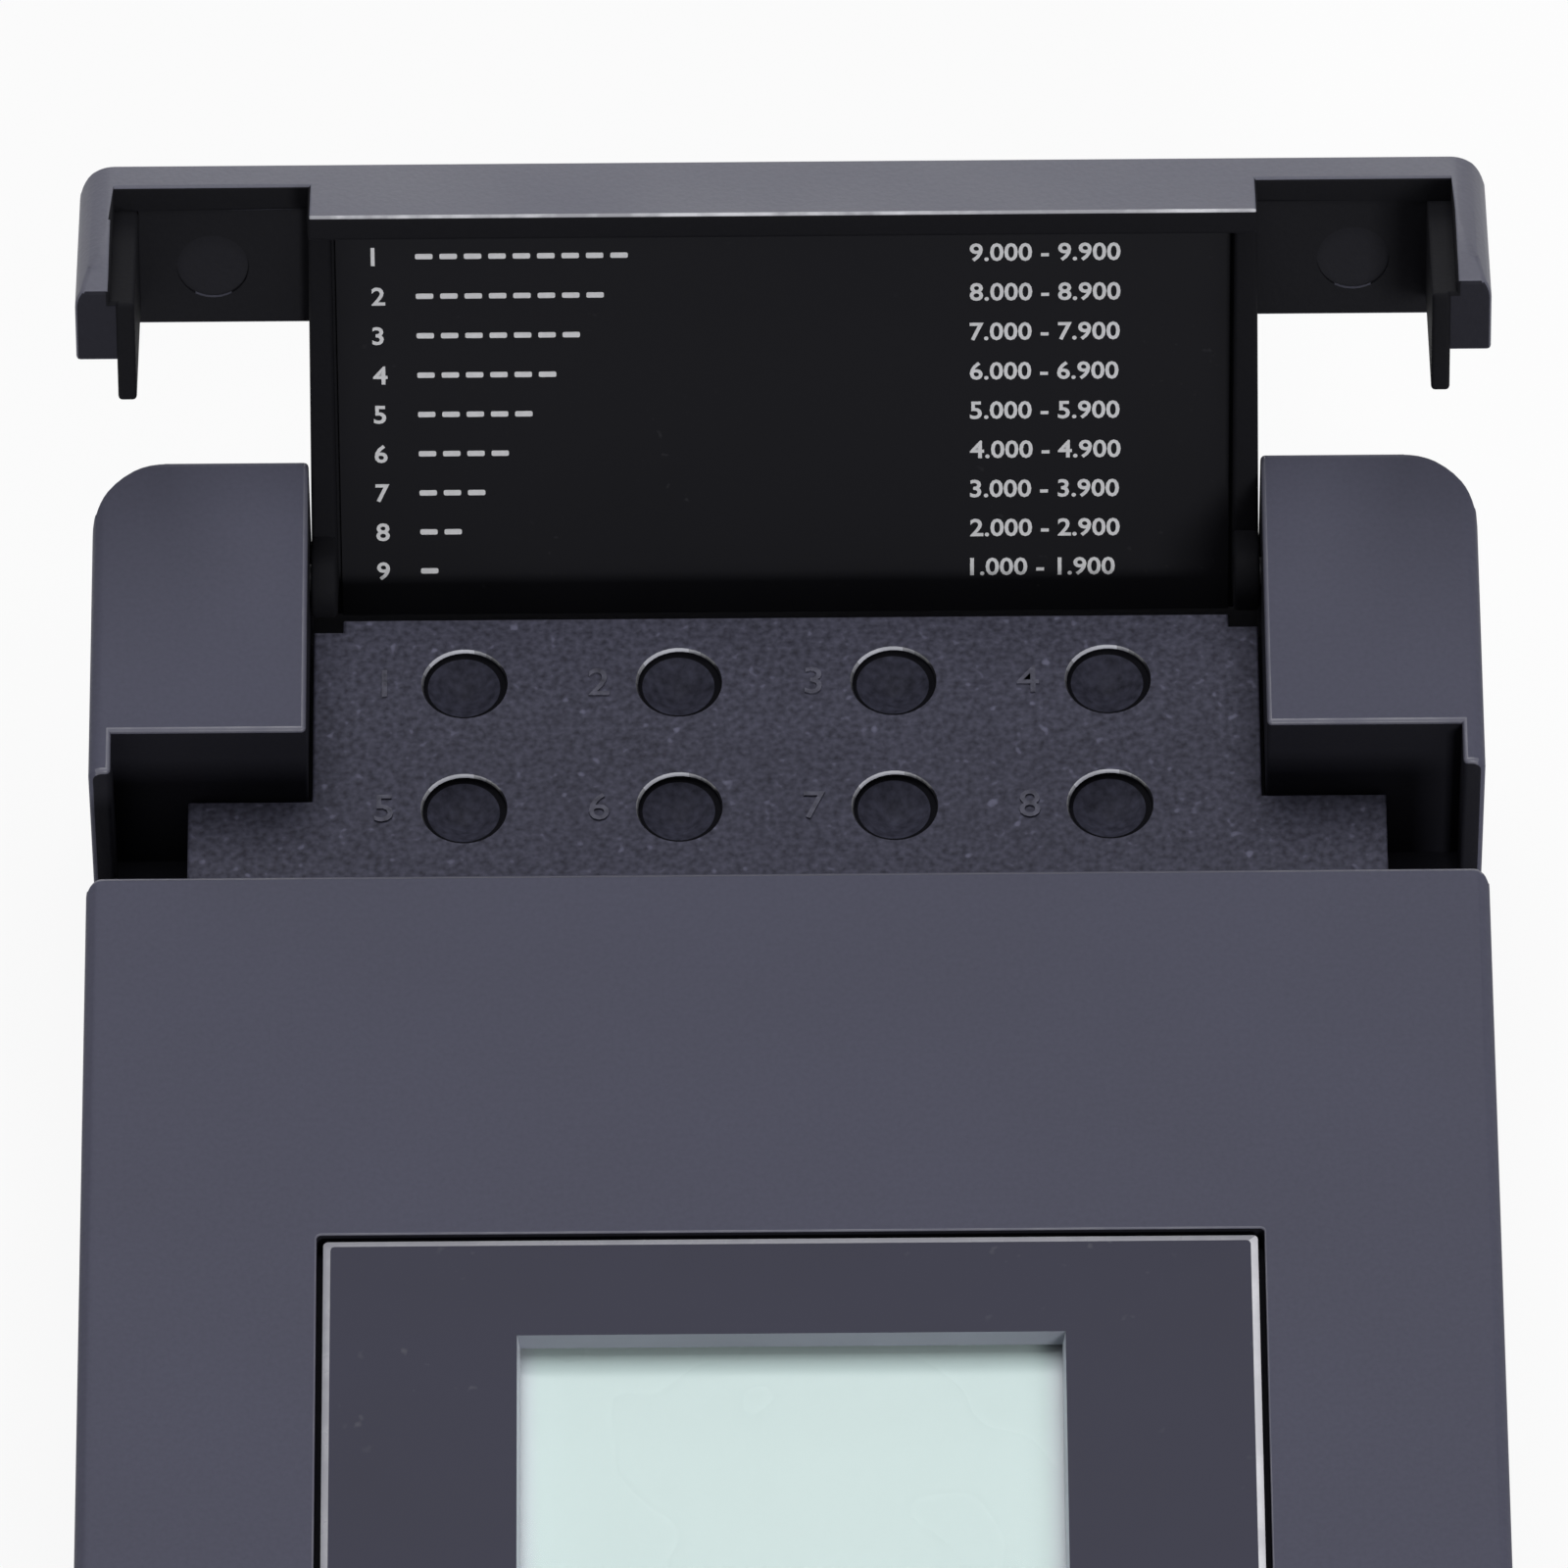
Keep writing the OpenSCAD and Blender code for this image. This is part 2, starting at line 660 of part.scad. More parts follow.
// Lid as it lies when closed
module closed_lid() {
    skirt_rear_y = ear_ext_y - wing_gap;
    wing_w = case_w - 2 * ear_ext_t - 2 * lid_side_gap;
    skirt_low_y = skirt_rear_y - skirt_slope;
    skirt_low_z = pit_floor + skirt_gap;
    lip_y = lid_front_y + lip_t;
    tongue_y = lid_front_y + tongue_l;
    flange_x = stem_w / 2 - flange_t;
    flange_top = lid_top_z - lid_t / 2;
    mark_x = (stem_w + lid_w) / 4 - skirt_t / 2;
    mark_y = (lip_y + wing_end_y) / 2;
    difference() {
        union() {
            intersection() {
                envelope(lid_w, lid_top_z);
                union() {
                    mid_block(lid_w, lid_front_y, skirt_rear_y, lid_in_z, lid_top_z);
                    mid_block(wing_w, lid_front_y, wing_end_y, lid_in_z, lid_top_z);
                    mid_block(stem_w, lid_front_y, lid_back_y, lid_in_z, lid_top_z);
                    mid_block(stem_w, lid_front_y, lip_y, lid_top_z - lip_depth, lid_top_z);
                    mid_block(lid_w, lid_front_y, lip_y, lid_top_z - wing_lip_depth, lid_top_z);
                    both_sides() {
                        side_profile(skirt_in_x, lid_w / 2)
                            skirt_profile(lid_front_y, skirt_rear_y, skirt_low_y, skirt_low_z);
                        side_profile(tongue_out_x, skirt_in_x)
                            skirt_profile(lip_y, skirt_rear_y, skirt_low_y, skirt_low_z);
                        side_profile(tongue_out_x - tongue_t, tongue_out_x)
                            skirt_profile(lip_y, tongue_y, tongue_y, pit_floor + tongue_gap);
                        block([flange_x, lid_front_y, lid_top_z - flange_depth],
                            [stem_w / 2, hinge_y, flange_top]);
                        block([flange_x, hinge_y - lug_d / 2, hinge_z],
                            [stem_w / 2, hinge_y + lug_d / 2, flange_top]);
                    }
                }
            }
            hinge_bar(lug_d, flange_x, stem_w / 2);
        }
        hinge_bar(pin_d + 2 * pin_run, flange_x - cut, stem_w / 2 + cut);
        corner_cutter(lid_w, lid_corner_r, lid_front_y, -1);
        both_sides() translate([mark_x, mark_y, 0]) bar(mark_d, lid_in_z - cut, lid_in_z + mark_depth);
    }
}

// Flip-up lid, resting open
module lid_cover() {
    color(LID_SLATE) opened() closed_lid();
}

// Printed chart on the lid's inside
module lid_chart() {
    color(CHART_BLACK) opened() mid_block(chart_w, lid_front_y + lip_t + chart_gap,
        lid_back_y - chart_gap, lid_in_z - chart_t, lid_in_z);
}

// Two short pins on which the lid turns
module hinge_pins() {
    color(STEEL) hinge_bar(pin_d, pin_x, pin_x + pin_l);
}

// Tray with two rows of conical wells for stones
module stone_tray() {
    lug_room_x = stem_w / 2 - flange_t - lid_side_gap;
    lug_room_y = hinge_y - lug_d / 2 - 2 * lid_side_gap;
    front = deck_y + tray_gap;
    well_z = tray_top - well_depth;
    rear_w = ear_gap_w - 2 * tray_gap;
    color(TRAY_GREY) difference() {
        union() {
            mid_block(tray_w, front, ear_front_y - tray_gap, tray_seat, tray_top);
            mid_block(rear_w, front, tray_end_y - tray_gap, tray_seat, tray_top);
        }
        for (column = [-1.5:1.5], row = [0, 1])
            translate([column * well_pitch_x, deck_y + well_row_y + row * well_pitch_y, well_z])
                cylinder(d1 = well_d / 8, d2 = well_d, h = well_depth);
        both_sides()
            block([lug_room_x, lug_room_y, tray_seat - cut], [ear_gap_w / 2, tray_end_y, tray_top + cut]);
    }
}

// Bezel around the display's window
module display_bezel() {
    low = pane_z + pane_t;
    high = low + bezel_t;
    color(PANEL_GREY) difference() {
        rounded_plate(panel_w, panel_l, panel_r, panel_y, low, high);
        rounded_plate(window_w, window_l, panel_r, window_y, low - cut, high + cut);
    }
}

// Clear pane under the bezel, on its ledge in the deck
module display_pane() {
    color(CLEAR) rounded_plate(panel_w, panel_l, panel_r, panel_y, pane_z, pane_z + pane_t);
}

// Liquid crystal glass
module lcd_glass() {
    color(LCD_GREEN) mid_block(lcd_w, window_y - lcd_l / 2, window_y + lcd_l / 2, lcd_z, lcd_z + lcd_t);
}

// Frame that carries the glass above the circuit board
module lcd_holder() {
    pocket_y = lcd_l / 2 + lcd_gap;
    hole_y = strip_y - strip_t;
    slot_y = strip_t / 2 + lcd_gap;
    low = board_top - cut;
    color(BLACK) difference() {
        rounded_plate(holder_w, holder_l, wall / 2, window_y, board_top, lcd_z + lcd_t - lcd_gap);
        mid_block(lcd_w + 2 * lcd_gap, window_y - pocket_y, window_y + pocket_y, lcd_z, case_h);
        mid_block(lcd_w - 4 * holder_t, window_y - hole_y, window_y + hole_y, low, case_h);
        for (side = [-1, 1]) translate([0, window_y + side * strip_y, 0])
            mid_block(strip_l + 2 * lcd_gap, -slot_y, slot_y, low, case_h);
    }
}

// Two conductive strips between the circuit board and the glass
module elastomer_strips() {
    color(RUBBER) for (side = [-1, 1]) translate([0, window_y + side * strip_y, 0])
        mid_block(strip_l, -strip_t / 2, strip_t / 2, board_top, lcd_z);
}

// Circuit board
module main_board() {
    color(BOARD_GREEN) difference() {
        mid_block(pcb_w, pcb_front_y, pcb_rear_y, pcb_z, board_top);
        for (p = POSTS) translate(p) bar(small_hole_d + 2 * screw_fit, pcb_z - cut, board_top + cut);
    }
}

// Processor behind the display
module processor_chip() {
    y = (panel_top_y + wall + pcb_rear_y) / 2;
    color(BLACK) mid_block(chip_w, y - chip_w / 2, y + chip_w / 2, board_top, board_top + chip_h);
}

// Amplifier and memory beside the optics
module support_chips() {
    y = key_y - switch_w - chip_w / 4;
    color(BLACK) for (x = [-chip_w, chip_w]) translate([x, y, 0])
        mid_block(chip_w / 2, -chip_w / 4, chip_w / 4, board_top, board_top + chip_h);
}

// Round beeper on the circuit board
module beeper() {
    y = (panel_top_y + wall + pcb_rear_y) / 2;
    color(BLACK) translate([chip_w / 2 + beeper_d, y, 0]) difference() {
        bar(beeper_d, board_top, board_top + beeper_h);
        bar(beeper_d / 5, board_top + beeper_h / 2, board_top + beeper_h + cut);
    }
}

// Three tact switches under the keys
module tact_switches() {
    color(BLACK) for (x = KEY_X) translate([x, key_y, 0]) {
        mid_block(switch_w, -switch_w / 2, switch_w / 2, board_top, board_top + switch_h);
        bar(plunger_d, board_top + switch_h / 2, switch_top);
    }
}

// Key with its cap, its keeping flange and its stem
module key_body(x) {
    color(KEY_GREY) {
        key_prism(x, 0, flange_z, case_h + key_proud);
        key_prism(x, key_flange, flange_z, flange_z + key_flange_t);
        translate([x, key_y, 0])
            bar(plunger_d, switch_top + key_travel + key_gap / 2, flange_z + key_flange_t / 2);
    }
}

// Key that switches the meter on and off
module power_key() {
    key_body(KEY_X[0]);
}

// Key that steps through the readings
module scroll_key() {
    key_body(KEY_X[1]);
}

// Key that starts a test
module test_key() {
    key_body(KEY_X[2]);
}

// Dished metal plate with the aperture on which a stone is laid
module aperture_plate() {
    dish_z = case_h - dish_depth;
    dish_r = stage_d / 2 - dish_rim;
    high = case_h + cut;
    color(STEEL) translate([0, stage_y, 0]) rotate_extrude() difference() {
        union() {
            translate([0, stage_z]) square([stage_d / 2, stage_t]);
            translate([0, block_top]) square([hub_d / 2, hub_h + stage_t / 2]);
        }
        translate([0, block_top - cut]) square([aperture_d / 2, case_h]);
        translate([0, block_top - cut]) square([glass_d / 2 + glass_gap, glass_t + cut]);
        polygon([[0, dish_z], [stage_d / 4, dish_z], [dish_r, case_h], [dish_r, high], [0, high]]);
    }
}

// Small glass below the aperture
module aperture_glass() {
    color(CLEAR) translate([0, stage_y, 0]) bar(glass_d, block_top, block_top + glass_t);
}

// Places its children along a light path that starts at the glass, on one side
module light_path(side) {
    translate([0, stage_y, block_top]) rotate([0, side * (180 - optics_angle), 0]) children();
}

// Block with the two slanted light paths
module optics_block() {
    flange_top = optics_seat_z + optics_flange_t;
    ear_y = post_d / 2;
    color(BLACK) difference() {
        union() {
            mid_block(optics_w, stage_y - optics_l / 2, stage_y + optics_l / 2, block_z, block_shoulder);
            translate([0, stage_y, 0]) bar(hub_d + 2 * wall, block_z, block_top);
            mid_block(2 * optics_screw_x, stage_y - ear_y, stage_y + ear_y, optics_seat_z, flange_top);
            for (x = OPTICS_X) translate([x, stage_y, 0]) bar(post_d, optics_seat_z, flange_top);
        }
        for (side = [-1, 1]) light_path(side) {
            cylinder(d = path_d, h = case_h);
            translate([0, 0, diode_reach]) cylinder(d = diode_d + 2 * diode_fit, h = case_h);
        }
        for (x = OPTICS_X) translate([x, stage_y, 0])
            bar(small_hole_d, optics_seat_z - cut, flange_top + cut);
    }
}

// Round-nosed diode seated in one of the light paths
module diode(side) {
    light_path(side) translate([0, 0, diode_reach + diode_d / 2]) {
        sphere(d = diode_d);
        cylinder(d = diode_d, h = diode_l - diode_d / 2);
    }
}

// Light emitter
module light_emitter() {
    color(CLEAR) diode(-1);
}

// Photodiode that reads the reflected light
module photodiode() {
    color(BLACK) diode(1);
}

// Small screw whose head rests at a height, pointing up or down
module small_screw(seat_z, up) {
    translate([0, 0, seat_z]) mirror([0, 0, up ? 1 : 0]) {
        cylinder(d = small_head_d, h = small_head_h);
        translate([0, 0, -small_screw_l]) cylinder(d = small_screw_d, h = small_screw_l + small_head_h / 2);
    }
}

// Two screws that hold the optics block under the deck
module optics_screws() {
    color(STEEL) for (x = OPTICS_X) translate([x, stage_y, 0]) small_screw(optics_seat_z, true);
}

// Three small cells, side by side across the case
module battery_cells() {
    color(CELL_BLUE) for (i = [0:cell_count - 1]) translate([0, cell_y0 + i * cell_pitch, cell_z])
        rotate([0, i % 2 == 0 ? 90 : -90, 0]) translate([0, 0, -cell_l / 2]) {
            cylinder(d = cell_d, h = cell_l - nub_l);
            cylinder(d = nub_d, h = cell_l);
        }
}

// Sprung contact strips at both ends of each cell
module battery_contacts() {
    low = cell_z - contact_w / 2;
    high = cell_z + contact_w / 2;
    wall_x = box_half_w;
    tip_x = cell_l / 2;
    t = contact_t;
    color(BRASS) for (i = [0:cell_count - 1]) translate([0, cell_y0 + i * cell_pitch, 0]) both_sides()
        translate([0, contact_w / 2, 0]) rotate([90, 0, 0]) linear_extrude(contact_w)
            polygon([[wall_x, low], [wall_x, high], [wall_x - t, high], [wall_x - t, low + 2 * t],
                [tip_x + t, cell_z - t], [tip_x + t, cell_z + t],
                [wall_x - 3 * t, high - t], [wall_x - 3 * t, high],
                [tip_x, cell_z + 2 * t], [tip_x, cell_z - 2 * t], [wall_x - 2 * t, low]]);
}

// Four screws that hold the circuit board on its posts
module board_screws() {
    color(STEEL) for (p = POSTS) translate(p) small_screw(board_top, false);
}

// Four screws that hold the two shells together
module case_screws() {
    color(STEEL) for (p = BOSSES) translate(p) {
        bar(case_head_d, case_seat_z - case_head_h, case_seat_z);
        bar(case_screw_d, case_seat_z - case_head_h / 2, case_seat_z + case_screw_l);
    }
}

top_shell();
bottom_shell();
battery_door();
lid_cover();
lid_chart();
hinge_pins();
stone_tray();
display_bezel();
display_pane();
lcd_glass();
lcd_holder();
elastomer_strips();
main_board();
processor_chip();
support_chips();
beeper();
tact_switches();
power_key();
scroll_key();
test_key();
aperture_plate();
aperture_glass();
optics_block();
light_emitter();
photodiode();
optics_screws();
battery_cells();
battery_contacts();
board_screws();
case_screws();
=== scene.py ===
"""Looks of a gem refractometer: a slate meter with a flip-up lid, a stone tray, a display, keys and a stage.

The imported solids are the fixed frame. Each sub-assembly is a class that rounds its moulded edges, adds its
small details and gives every solid its finish.
"""

import sys
import json
import logging
import math
from collections.abc import Callable, Iterable, Sequence
from dataclasses import dataclass
from enum import Enum

import bmesh
import bpy
from mathutils import Matrix, Quaternion, Vector

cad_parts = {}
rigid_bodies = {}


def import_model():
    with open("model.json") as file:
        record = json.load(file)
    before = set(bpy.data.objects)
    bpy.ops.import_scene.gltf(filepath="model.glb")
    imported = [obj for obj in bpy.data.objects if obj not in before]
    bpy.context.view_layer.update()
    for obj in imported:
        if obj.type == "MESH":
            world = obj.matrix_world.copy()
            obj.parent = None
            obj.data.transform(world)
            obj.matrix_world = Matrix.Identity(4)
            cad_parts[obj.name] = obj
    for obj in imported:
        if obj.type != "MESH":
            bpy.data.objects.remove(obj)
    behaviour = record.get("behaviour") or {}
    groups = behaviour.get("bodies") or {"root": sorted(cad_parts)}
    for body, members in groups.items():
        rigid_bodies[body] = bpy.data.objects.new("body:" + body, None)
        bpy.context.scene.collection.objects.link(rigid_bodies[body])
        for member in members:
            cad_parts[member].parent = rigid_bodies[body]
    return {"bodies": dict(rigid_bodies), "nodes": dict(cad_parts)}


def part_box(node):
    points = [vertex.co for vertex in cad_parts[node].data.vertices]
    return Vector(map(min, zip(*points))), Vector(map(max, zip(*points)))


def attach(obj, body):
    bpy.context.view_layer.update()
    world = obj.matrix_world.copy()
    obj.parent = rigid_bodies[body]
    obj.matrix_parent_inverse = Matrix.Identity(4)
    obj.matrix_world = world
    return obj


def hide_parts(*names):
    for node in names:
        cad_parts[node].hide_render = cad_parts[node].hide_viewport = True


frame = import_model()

log = logging.getLogger("refractometer")

Colour = tuple[float, float, float]
Socket = bpy.types.NodeSocket
Shape = bmesh.types.BMesh
Face = bmesh.types.BMFace
Edge = bmesh.types.BMEdge

MM = 0.001
MERGE = 0.001 * MM
FLAT_ANGLE = math.radians(0.3)
SHARP_ANGLE = math.radians(38)
CRISP_SHADING = math.radians(50)
FACES_ALONG = 0.5
FACES_DOWN = -0.8
LEANS = 0.1
MIX_SHARE, MIX_FIRST, MIX_SECOND, MIX_RESULT = 0, 6, 7, 2


def clear_startup() -> None:
    """Remove what Blender itself puts into a new scene."""
    ours = set(frame["nodes"].values()) | set(frame["bodies"].values())
    for thing in list(bpy.data.objects):
        if thing not in ours:
            bpy.data.objects.remove(thing)


clear_startup()
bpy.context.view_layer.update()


class Body(Enum):
    """Moving bodies of the meter."""

    CASE = "case"
    LID = "lid"
    DOOR = "battery_door"
    POWER = "power_key"
    SCROLL = "scroll_key"
    TEST = "test_key"


def full(value: object) -> object:
    """Give a colour of three numbers a full alpha, and leave any other value as it is."""
    return (*value, 1.0) if isinstance(value, tuple) and len(value) == 3 else value


def add_node(tree: bpy.types.NodeTree, kind: str, inputs: dict[str | int, object],
             **settings: str) -> bpy.types.bpy_prop_collection:
    """Add a node to a tree.

    Args:
        tree: Tree that grows.
        kind: Type of the node, without the prefix that all shader nodes share.
        inputs: Constants, or outputs of other nodes, for the node's sockets.
        settings: The node's own settings.

    Returns:
        The node's outputs.
    """
    node = tree.nodes.new("ShaderNode" + kind)
    for name, value in settings.items():
        setattr(node, name, value)
    for name, value in inputs.items():
        if isinstance(value, Socket):
            tree.links.new(value, node.inputs[name])
        else:
            node.inputs[name].default_value = value
    return node.outputs


class Graph:
    """Node tree of one finish, with the few kinds of node that the finishes share."""

    def __init__(self, name: str) -> None:
        """Start a material with one Principled shader.

        Args:
            name: Name of the new material.
        """
        self.material = bpy.data.materials.new(name)
        self.material.use_nodes = True
        self.tree = self.material.node_tree
        self.tree.nodes.clear()
        self.shader = self.tree.nodes.new("ShaderNodeBsdfPrincipled")
        self.output = self.tree.nodes.new("ShaderNodeOutputMaterial")
        self.tree.links.new(self.shader.outputs["BSDF"], self.output.inputs["Surface"])
        self.place = add_node(self.tree, "TexCoord", {})["Object"]

    def fixed(self, values: dict[str, object]) -> None:
        """Set constants on the shader's own sockets, by their names."""
        for name, value in values.items():
            self.shader.inputs[name].default_value = full(value)

    def feed(self, name: str, source: Socket) -> None:
        """Let an output drive one of the shader's sockets."""
        self.tree.links.new(source, self.shader.inputs[name])

    def moved(self, shift: Sequence[float] = (0, 0, 0), turn: float = 0.0,
              scale: Sequence[float] = (1, 1, 1)) -> Socket:
        """Stretch the piece's coordinates, turn them about Z and shift them."""
        inputs = {"Vector": self.place, "Location": shift, "Rotation": (0, 0, turn), "Scale": scale}
        return add_node(self.tree, "Mapping", inputs)["Vector"]

    def noise(self, size: float, detail: float = 3.0, place: Socket | None = None) -> Socket:
        """Cloudy noise from 0 to 1, with clouds of a size in metres and octaves of finer detail."""
        inputs = {"Vector": place or self.place, "Scale": 1.0 / size, "Detail": detail}
        return add_node(self.tree, "TexNoise", inputs)["Fac"]

    def patches(self, size: float) -> Socket:
        """Patches of a size in metres, each with a colour drawn for it."""
        return add_node(self.tree, "TexVoronoi", {"Vector": self.place, "Scale": 1.0 / size})["Color"]

    def wave(self, size: float, place: Socket | None = None, **settings: str) -> Socket:
        """Regular bands or rings from 0 to 1, of a width in metres.

        Args:
            size: Width of one band or ring.
            place: Coordinates, or the piece's own.
            settings: Kind and direction, as the wave node names them.

        Returns:
            The wave.
        """
        inputs = {"Vector": place or self.place, "Scale": math.pi / (10.0 * size)}
        return add_node(self.tree, "TexWave", inputs, **settings)["Fac"]

    def off_middle(self) -> Socket:
        """Distance from the meter's middle plane, across its width."""
        across = add_node(self.tree, "SeparateXYZ", {"Vector": self.place})["X"]
        return self.sums("ABSOLUTE", across)

    def span(self, value: Socket, low: float, high: float, first: float = 0.0, last: float = 1.0) -> Socket:
        """Stretch a value's range to another one, held at both ends.

        Args:
            value: Value to stretch.
            low: Start of its range.
            high: End of its range.
            first: Result at the start.
            last: Result at the end.

        Returns:
            The stretched value.
        """
        inputs = {"Value": value, "From Min": low, "From Max": high, "To Min": first, "To Max": last}
        return add_node(self.tree, "MapRange", inputs)["Result"]

    def sums(self, kind: str, first: Socket, second: Socket | float = 0.0) -> Socket:
        """Join two values by a named sum, such as MULTIPLY."""
        return add_node(self.tree, "Math", {0: first, 1: second}, operation=kind)["Value"]

    def blend(self, first: Socket, second: Socket, share: float) -> Socket:
        """Add a share of one value to the rest of another."""
        parts = (self.sums("MULTIPLY", first, share), self.sums("MULTIPLY", second, 1 - share))
        return self.sums("ADD", *parts)

    def tint(self, share: Socket, low: Colour | Socket, high: Colour) -> Socket:
        """Blend from one colour at a share of 0 to another at 1."""
        inputs = {MIX_SHARE: share, MIX_FIRST: full(low), MIX_SECOND: full(high)}
        return add_node(self.tree, "Mix", inputs, data_type="RGBA")[MIX_RESULT]

    def bump(self, height: Socket, depth: float) -> None:
        """Raise the surface by a height from 0 to 1, times a depth in metres."""
        inputs = {"Height": height, "Strength": 1.0, "Distance": depth}
        self.feed("Normal", add_node(self.tree, "Bump", inputs)["Normal"])


def shade(colour: Colour, factor: float) -> Colour:
    """Make a linear colour lighter, by a factor above 1, or darker."""
    return tuple(min(part * factor, 1.0) for part in colour)


@dataclass(frozen=True)
class Finish:
    """One finish of the meter.

    Attributes:
        name: Name of the finish and of its material.
        colour: Main colour, linear.
        roughness: Middle roughness.
    """

    name: str
    colour: Colour
    roughness: float = 0.5

    def material(self) -> bpy.types.Material:
        """Give the finish's material, made when it is first asked for.

        Returns:
            The material.
        """
        known = bpy.data.materials.get(self.name)
        if known:
            return known
        graph = Graph(self.name)
        graph.fixed({"Base Color": self.colour, "Roughness": self.roughness})
        self.draw(graph)
        return graph.material

    def drift(self, graph: Graph, share: Socket, darkest: float = 0.85, palest: float = 1.15) -> Socket:
        """Let the colour drift between two shades of itself."""
        return graph.tint(share, shade(self.colour, darkest), shade(self.colour, palest))

    def gloss(self, graph: Graph, cloud: Socket, less: float, more: float) -> Socket:
        """Let the roughness drift with a cloud, less and more than its middle."""
        return graph.span(cloud, 0.3, 0.7, self.roughness - less, self.roughness + more)

    def draw(self, graph: Graph) -> None:
        """Add the finish's own nodes; the plain finish drifts a little in colour and gloss.

        Args:
            graph: Node tree of the finish.
        """
        cloud = graph.noise(6 * MM)
        graph.feed("Base Color", self.drift(graph, cloud))
        graph.feed("Roughness", self.gloss(graph, cloud, 0.05, 0.05))


@dataclass(frozen=True)
class Moulding(Finish):
    """Moulded plastic with a spark-eroded grain.

    Attributes:
        grain: Width of a grain, in metres.
        depth: Height of the grain, in metres.
        fleck: Share by which single grains differ in colour.
        specular: Strength of the plain reflection.
        octaves: Octaves of finer grain.
        spark: Brightness of the few grains that stand out, as a share of the colour.
        fade: Share by which the colour drifts over the surface.
    """

    grain: float = 0.3 * MM
    depth: float = 0.02 * MM
    fleck: float = 0.05
    specular: float = 0.5
    octaves: float = 2.0
    spark: float = 1.0
    fade: float = 0.06

    def draw(self, graph: Graph) -> None:
        """Add slow colour drift, flecks, bright grains, uneven gloss and the grain's relief.

        Args:
            graph: Node tree of the finish.
        """
        grain = graph.noise(self.grain, self.octaves)
        cloud = graph.noise(14 * MM, 4.0)
        spread = self.fade + self.fleck
        share = graph.span(graph.blend(cloud, grain, self.fade / spread), 0.25, 0.75)
        tone = self.drift(graph, share, 1 - spread, 1 + spread)
        if self.spark > 1.0:
            bright = graph.span(graph.noise(2 * self.grain, 1.0), 0.68, 0.8)
            tone = graph.tint(bright, tone, shade(self.colour, self.spark))
        graph.feed("Base Color", tone)
        graph.feed("Roughness", self.gloss(graph, cloud, 0.05, 0.06))
        graph.fixed({"Specular IOR Level": self.specular})
        graph.bump(grain, self.depth)


@dataclass(frozen=True)
class Rubbed(Finish):
    """Paler edge of a moulding, with paler patches along it. It serves for wear from handling, for a pale
    chamfer, and for painted highlight, which on the wells' mouths fades to painted shade.

    Attributes:
        bare: Palest colour in the edge's patches.
    """

    bare: Colour = (0.2, 0.2, 0.22)

    def draw(self, graph: Graph) -> None:
        """Add paler patches along the edge.

        Args:
            graph: Node tree of the finish.
        """
        patch = graph.span(graph.noise(2.2 * MM, 5.0), 0.42, 0.62)
        graph.feed("Base Color", graph.tint(patch, self.colour, self.bare))
        graph.feed("Roughness", graph.span(patch, 0.0, 1.0, self.roughness, self.roughness - 0.12))
        graph.bump(graph.noise(0.5 * MM, 2.0), 0.012 * MM)


@dataclass(frozen=True)
class PrintedPlate(Finish):
    """Smooth printed plate with dust and hairlines.

    Attributes:
        dust: Colour of the dust.
        speck: Width of a speck and its surroundings, in metres.
        specular: Strength of the plain reflection.
    """

    dust: Colour = (0.16, 0.16, 0.18)
    speck: float = 0.5 * MM
    specular: float = 0.3

    def draw(self, graph: Graph) -> None:
        """Add scattered dust, wiped hairlines and a slow drift in gloss.

        Args:
            graph: Node tree of the finish.
        """
        graph.fixed({"Specular IOR Level": self.specular})
        near = graph.span(graph.noise(self.speck, 1.0), 0.7, 0.82)
        speck = graph.sums("MULTIPLY", near, graph.span(graph.noise(8 * MM, 2.0), 0.54, 0.66))
        stretched = graph.moved(turn=0.35, scale=(1, 14, 1))
        hair = graph.span(graph.noise(5 * MM, 4.0, stretched), 0.68, 0.74, 0.0, 0.12)
        cloud = graph.noise(9 * MM)
        base = self.drift(graph, cloud, 0.9, 1.1)
        wiped = graph.tint(graph.sums("MULTIPLY", hair, cloud), base, shade(self.dust, 0.6))
        graph.feed("Base Color", graph.tint(speck, wiped, self.dust))
        dull = graph.sums("MULTIPLY", speck, 0.3)
        graph.feed("Roughness", graph.sums("ADD", self.gloss(graph, cloud, 0.04, 0.05), dull))
        graph.bump(graph.noise(0.6 * MM, 2.0), 0.003 * MM)


@dataclass(frozen=True)
class Ink(Finish):
    """Screen-printed ink."""

    def draw(self, graph: Graph) -> None:
        """Add thin and thick patches to the ink.

        Args:
            graph: Node tree of the finish.
        """
        patch = graph.noise(0.35 * MM)
        graph.feed("Base Color", self.drift(graph, patch, 0.75, 1.0))
        graph.bump(patch, 0.004 * MM)


@dataclass(frozen=True)
class Clear(Finish):
    """Clear acrylic or resin.

    Attributes:
        cover: Share of the surface that shows over what lies behind.
    """

    cover: float = 0.1

    def draw(self, graph: Graph) -> None:
        """Let most of the light through and add a faint smear of gloss.

        Args:
            graph: Node tree of the finish.
        """
        graph.fixed({"Alpha": self.cover, "IOR": 1.49, "Specular IOR Level": 0.8})
        smear = graph.noise(18 * MM, 1.0)
        graph.feed("Roughness", graph.span(smear, 0.0, 1.0, self.roughness, self.roughness + 0.05))


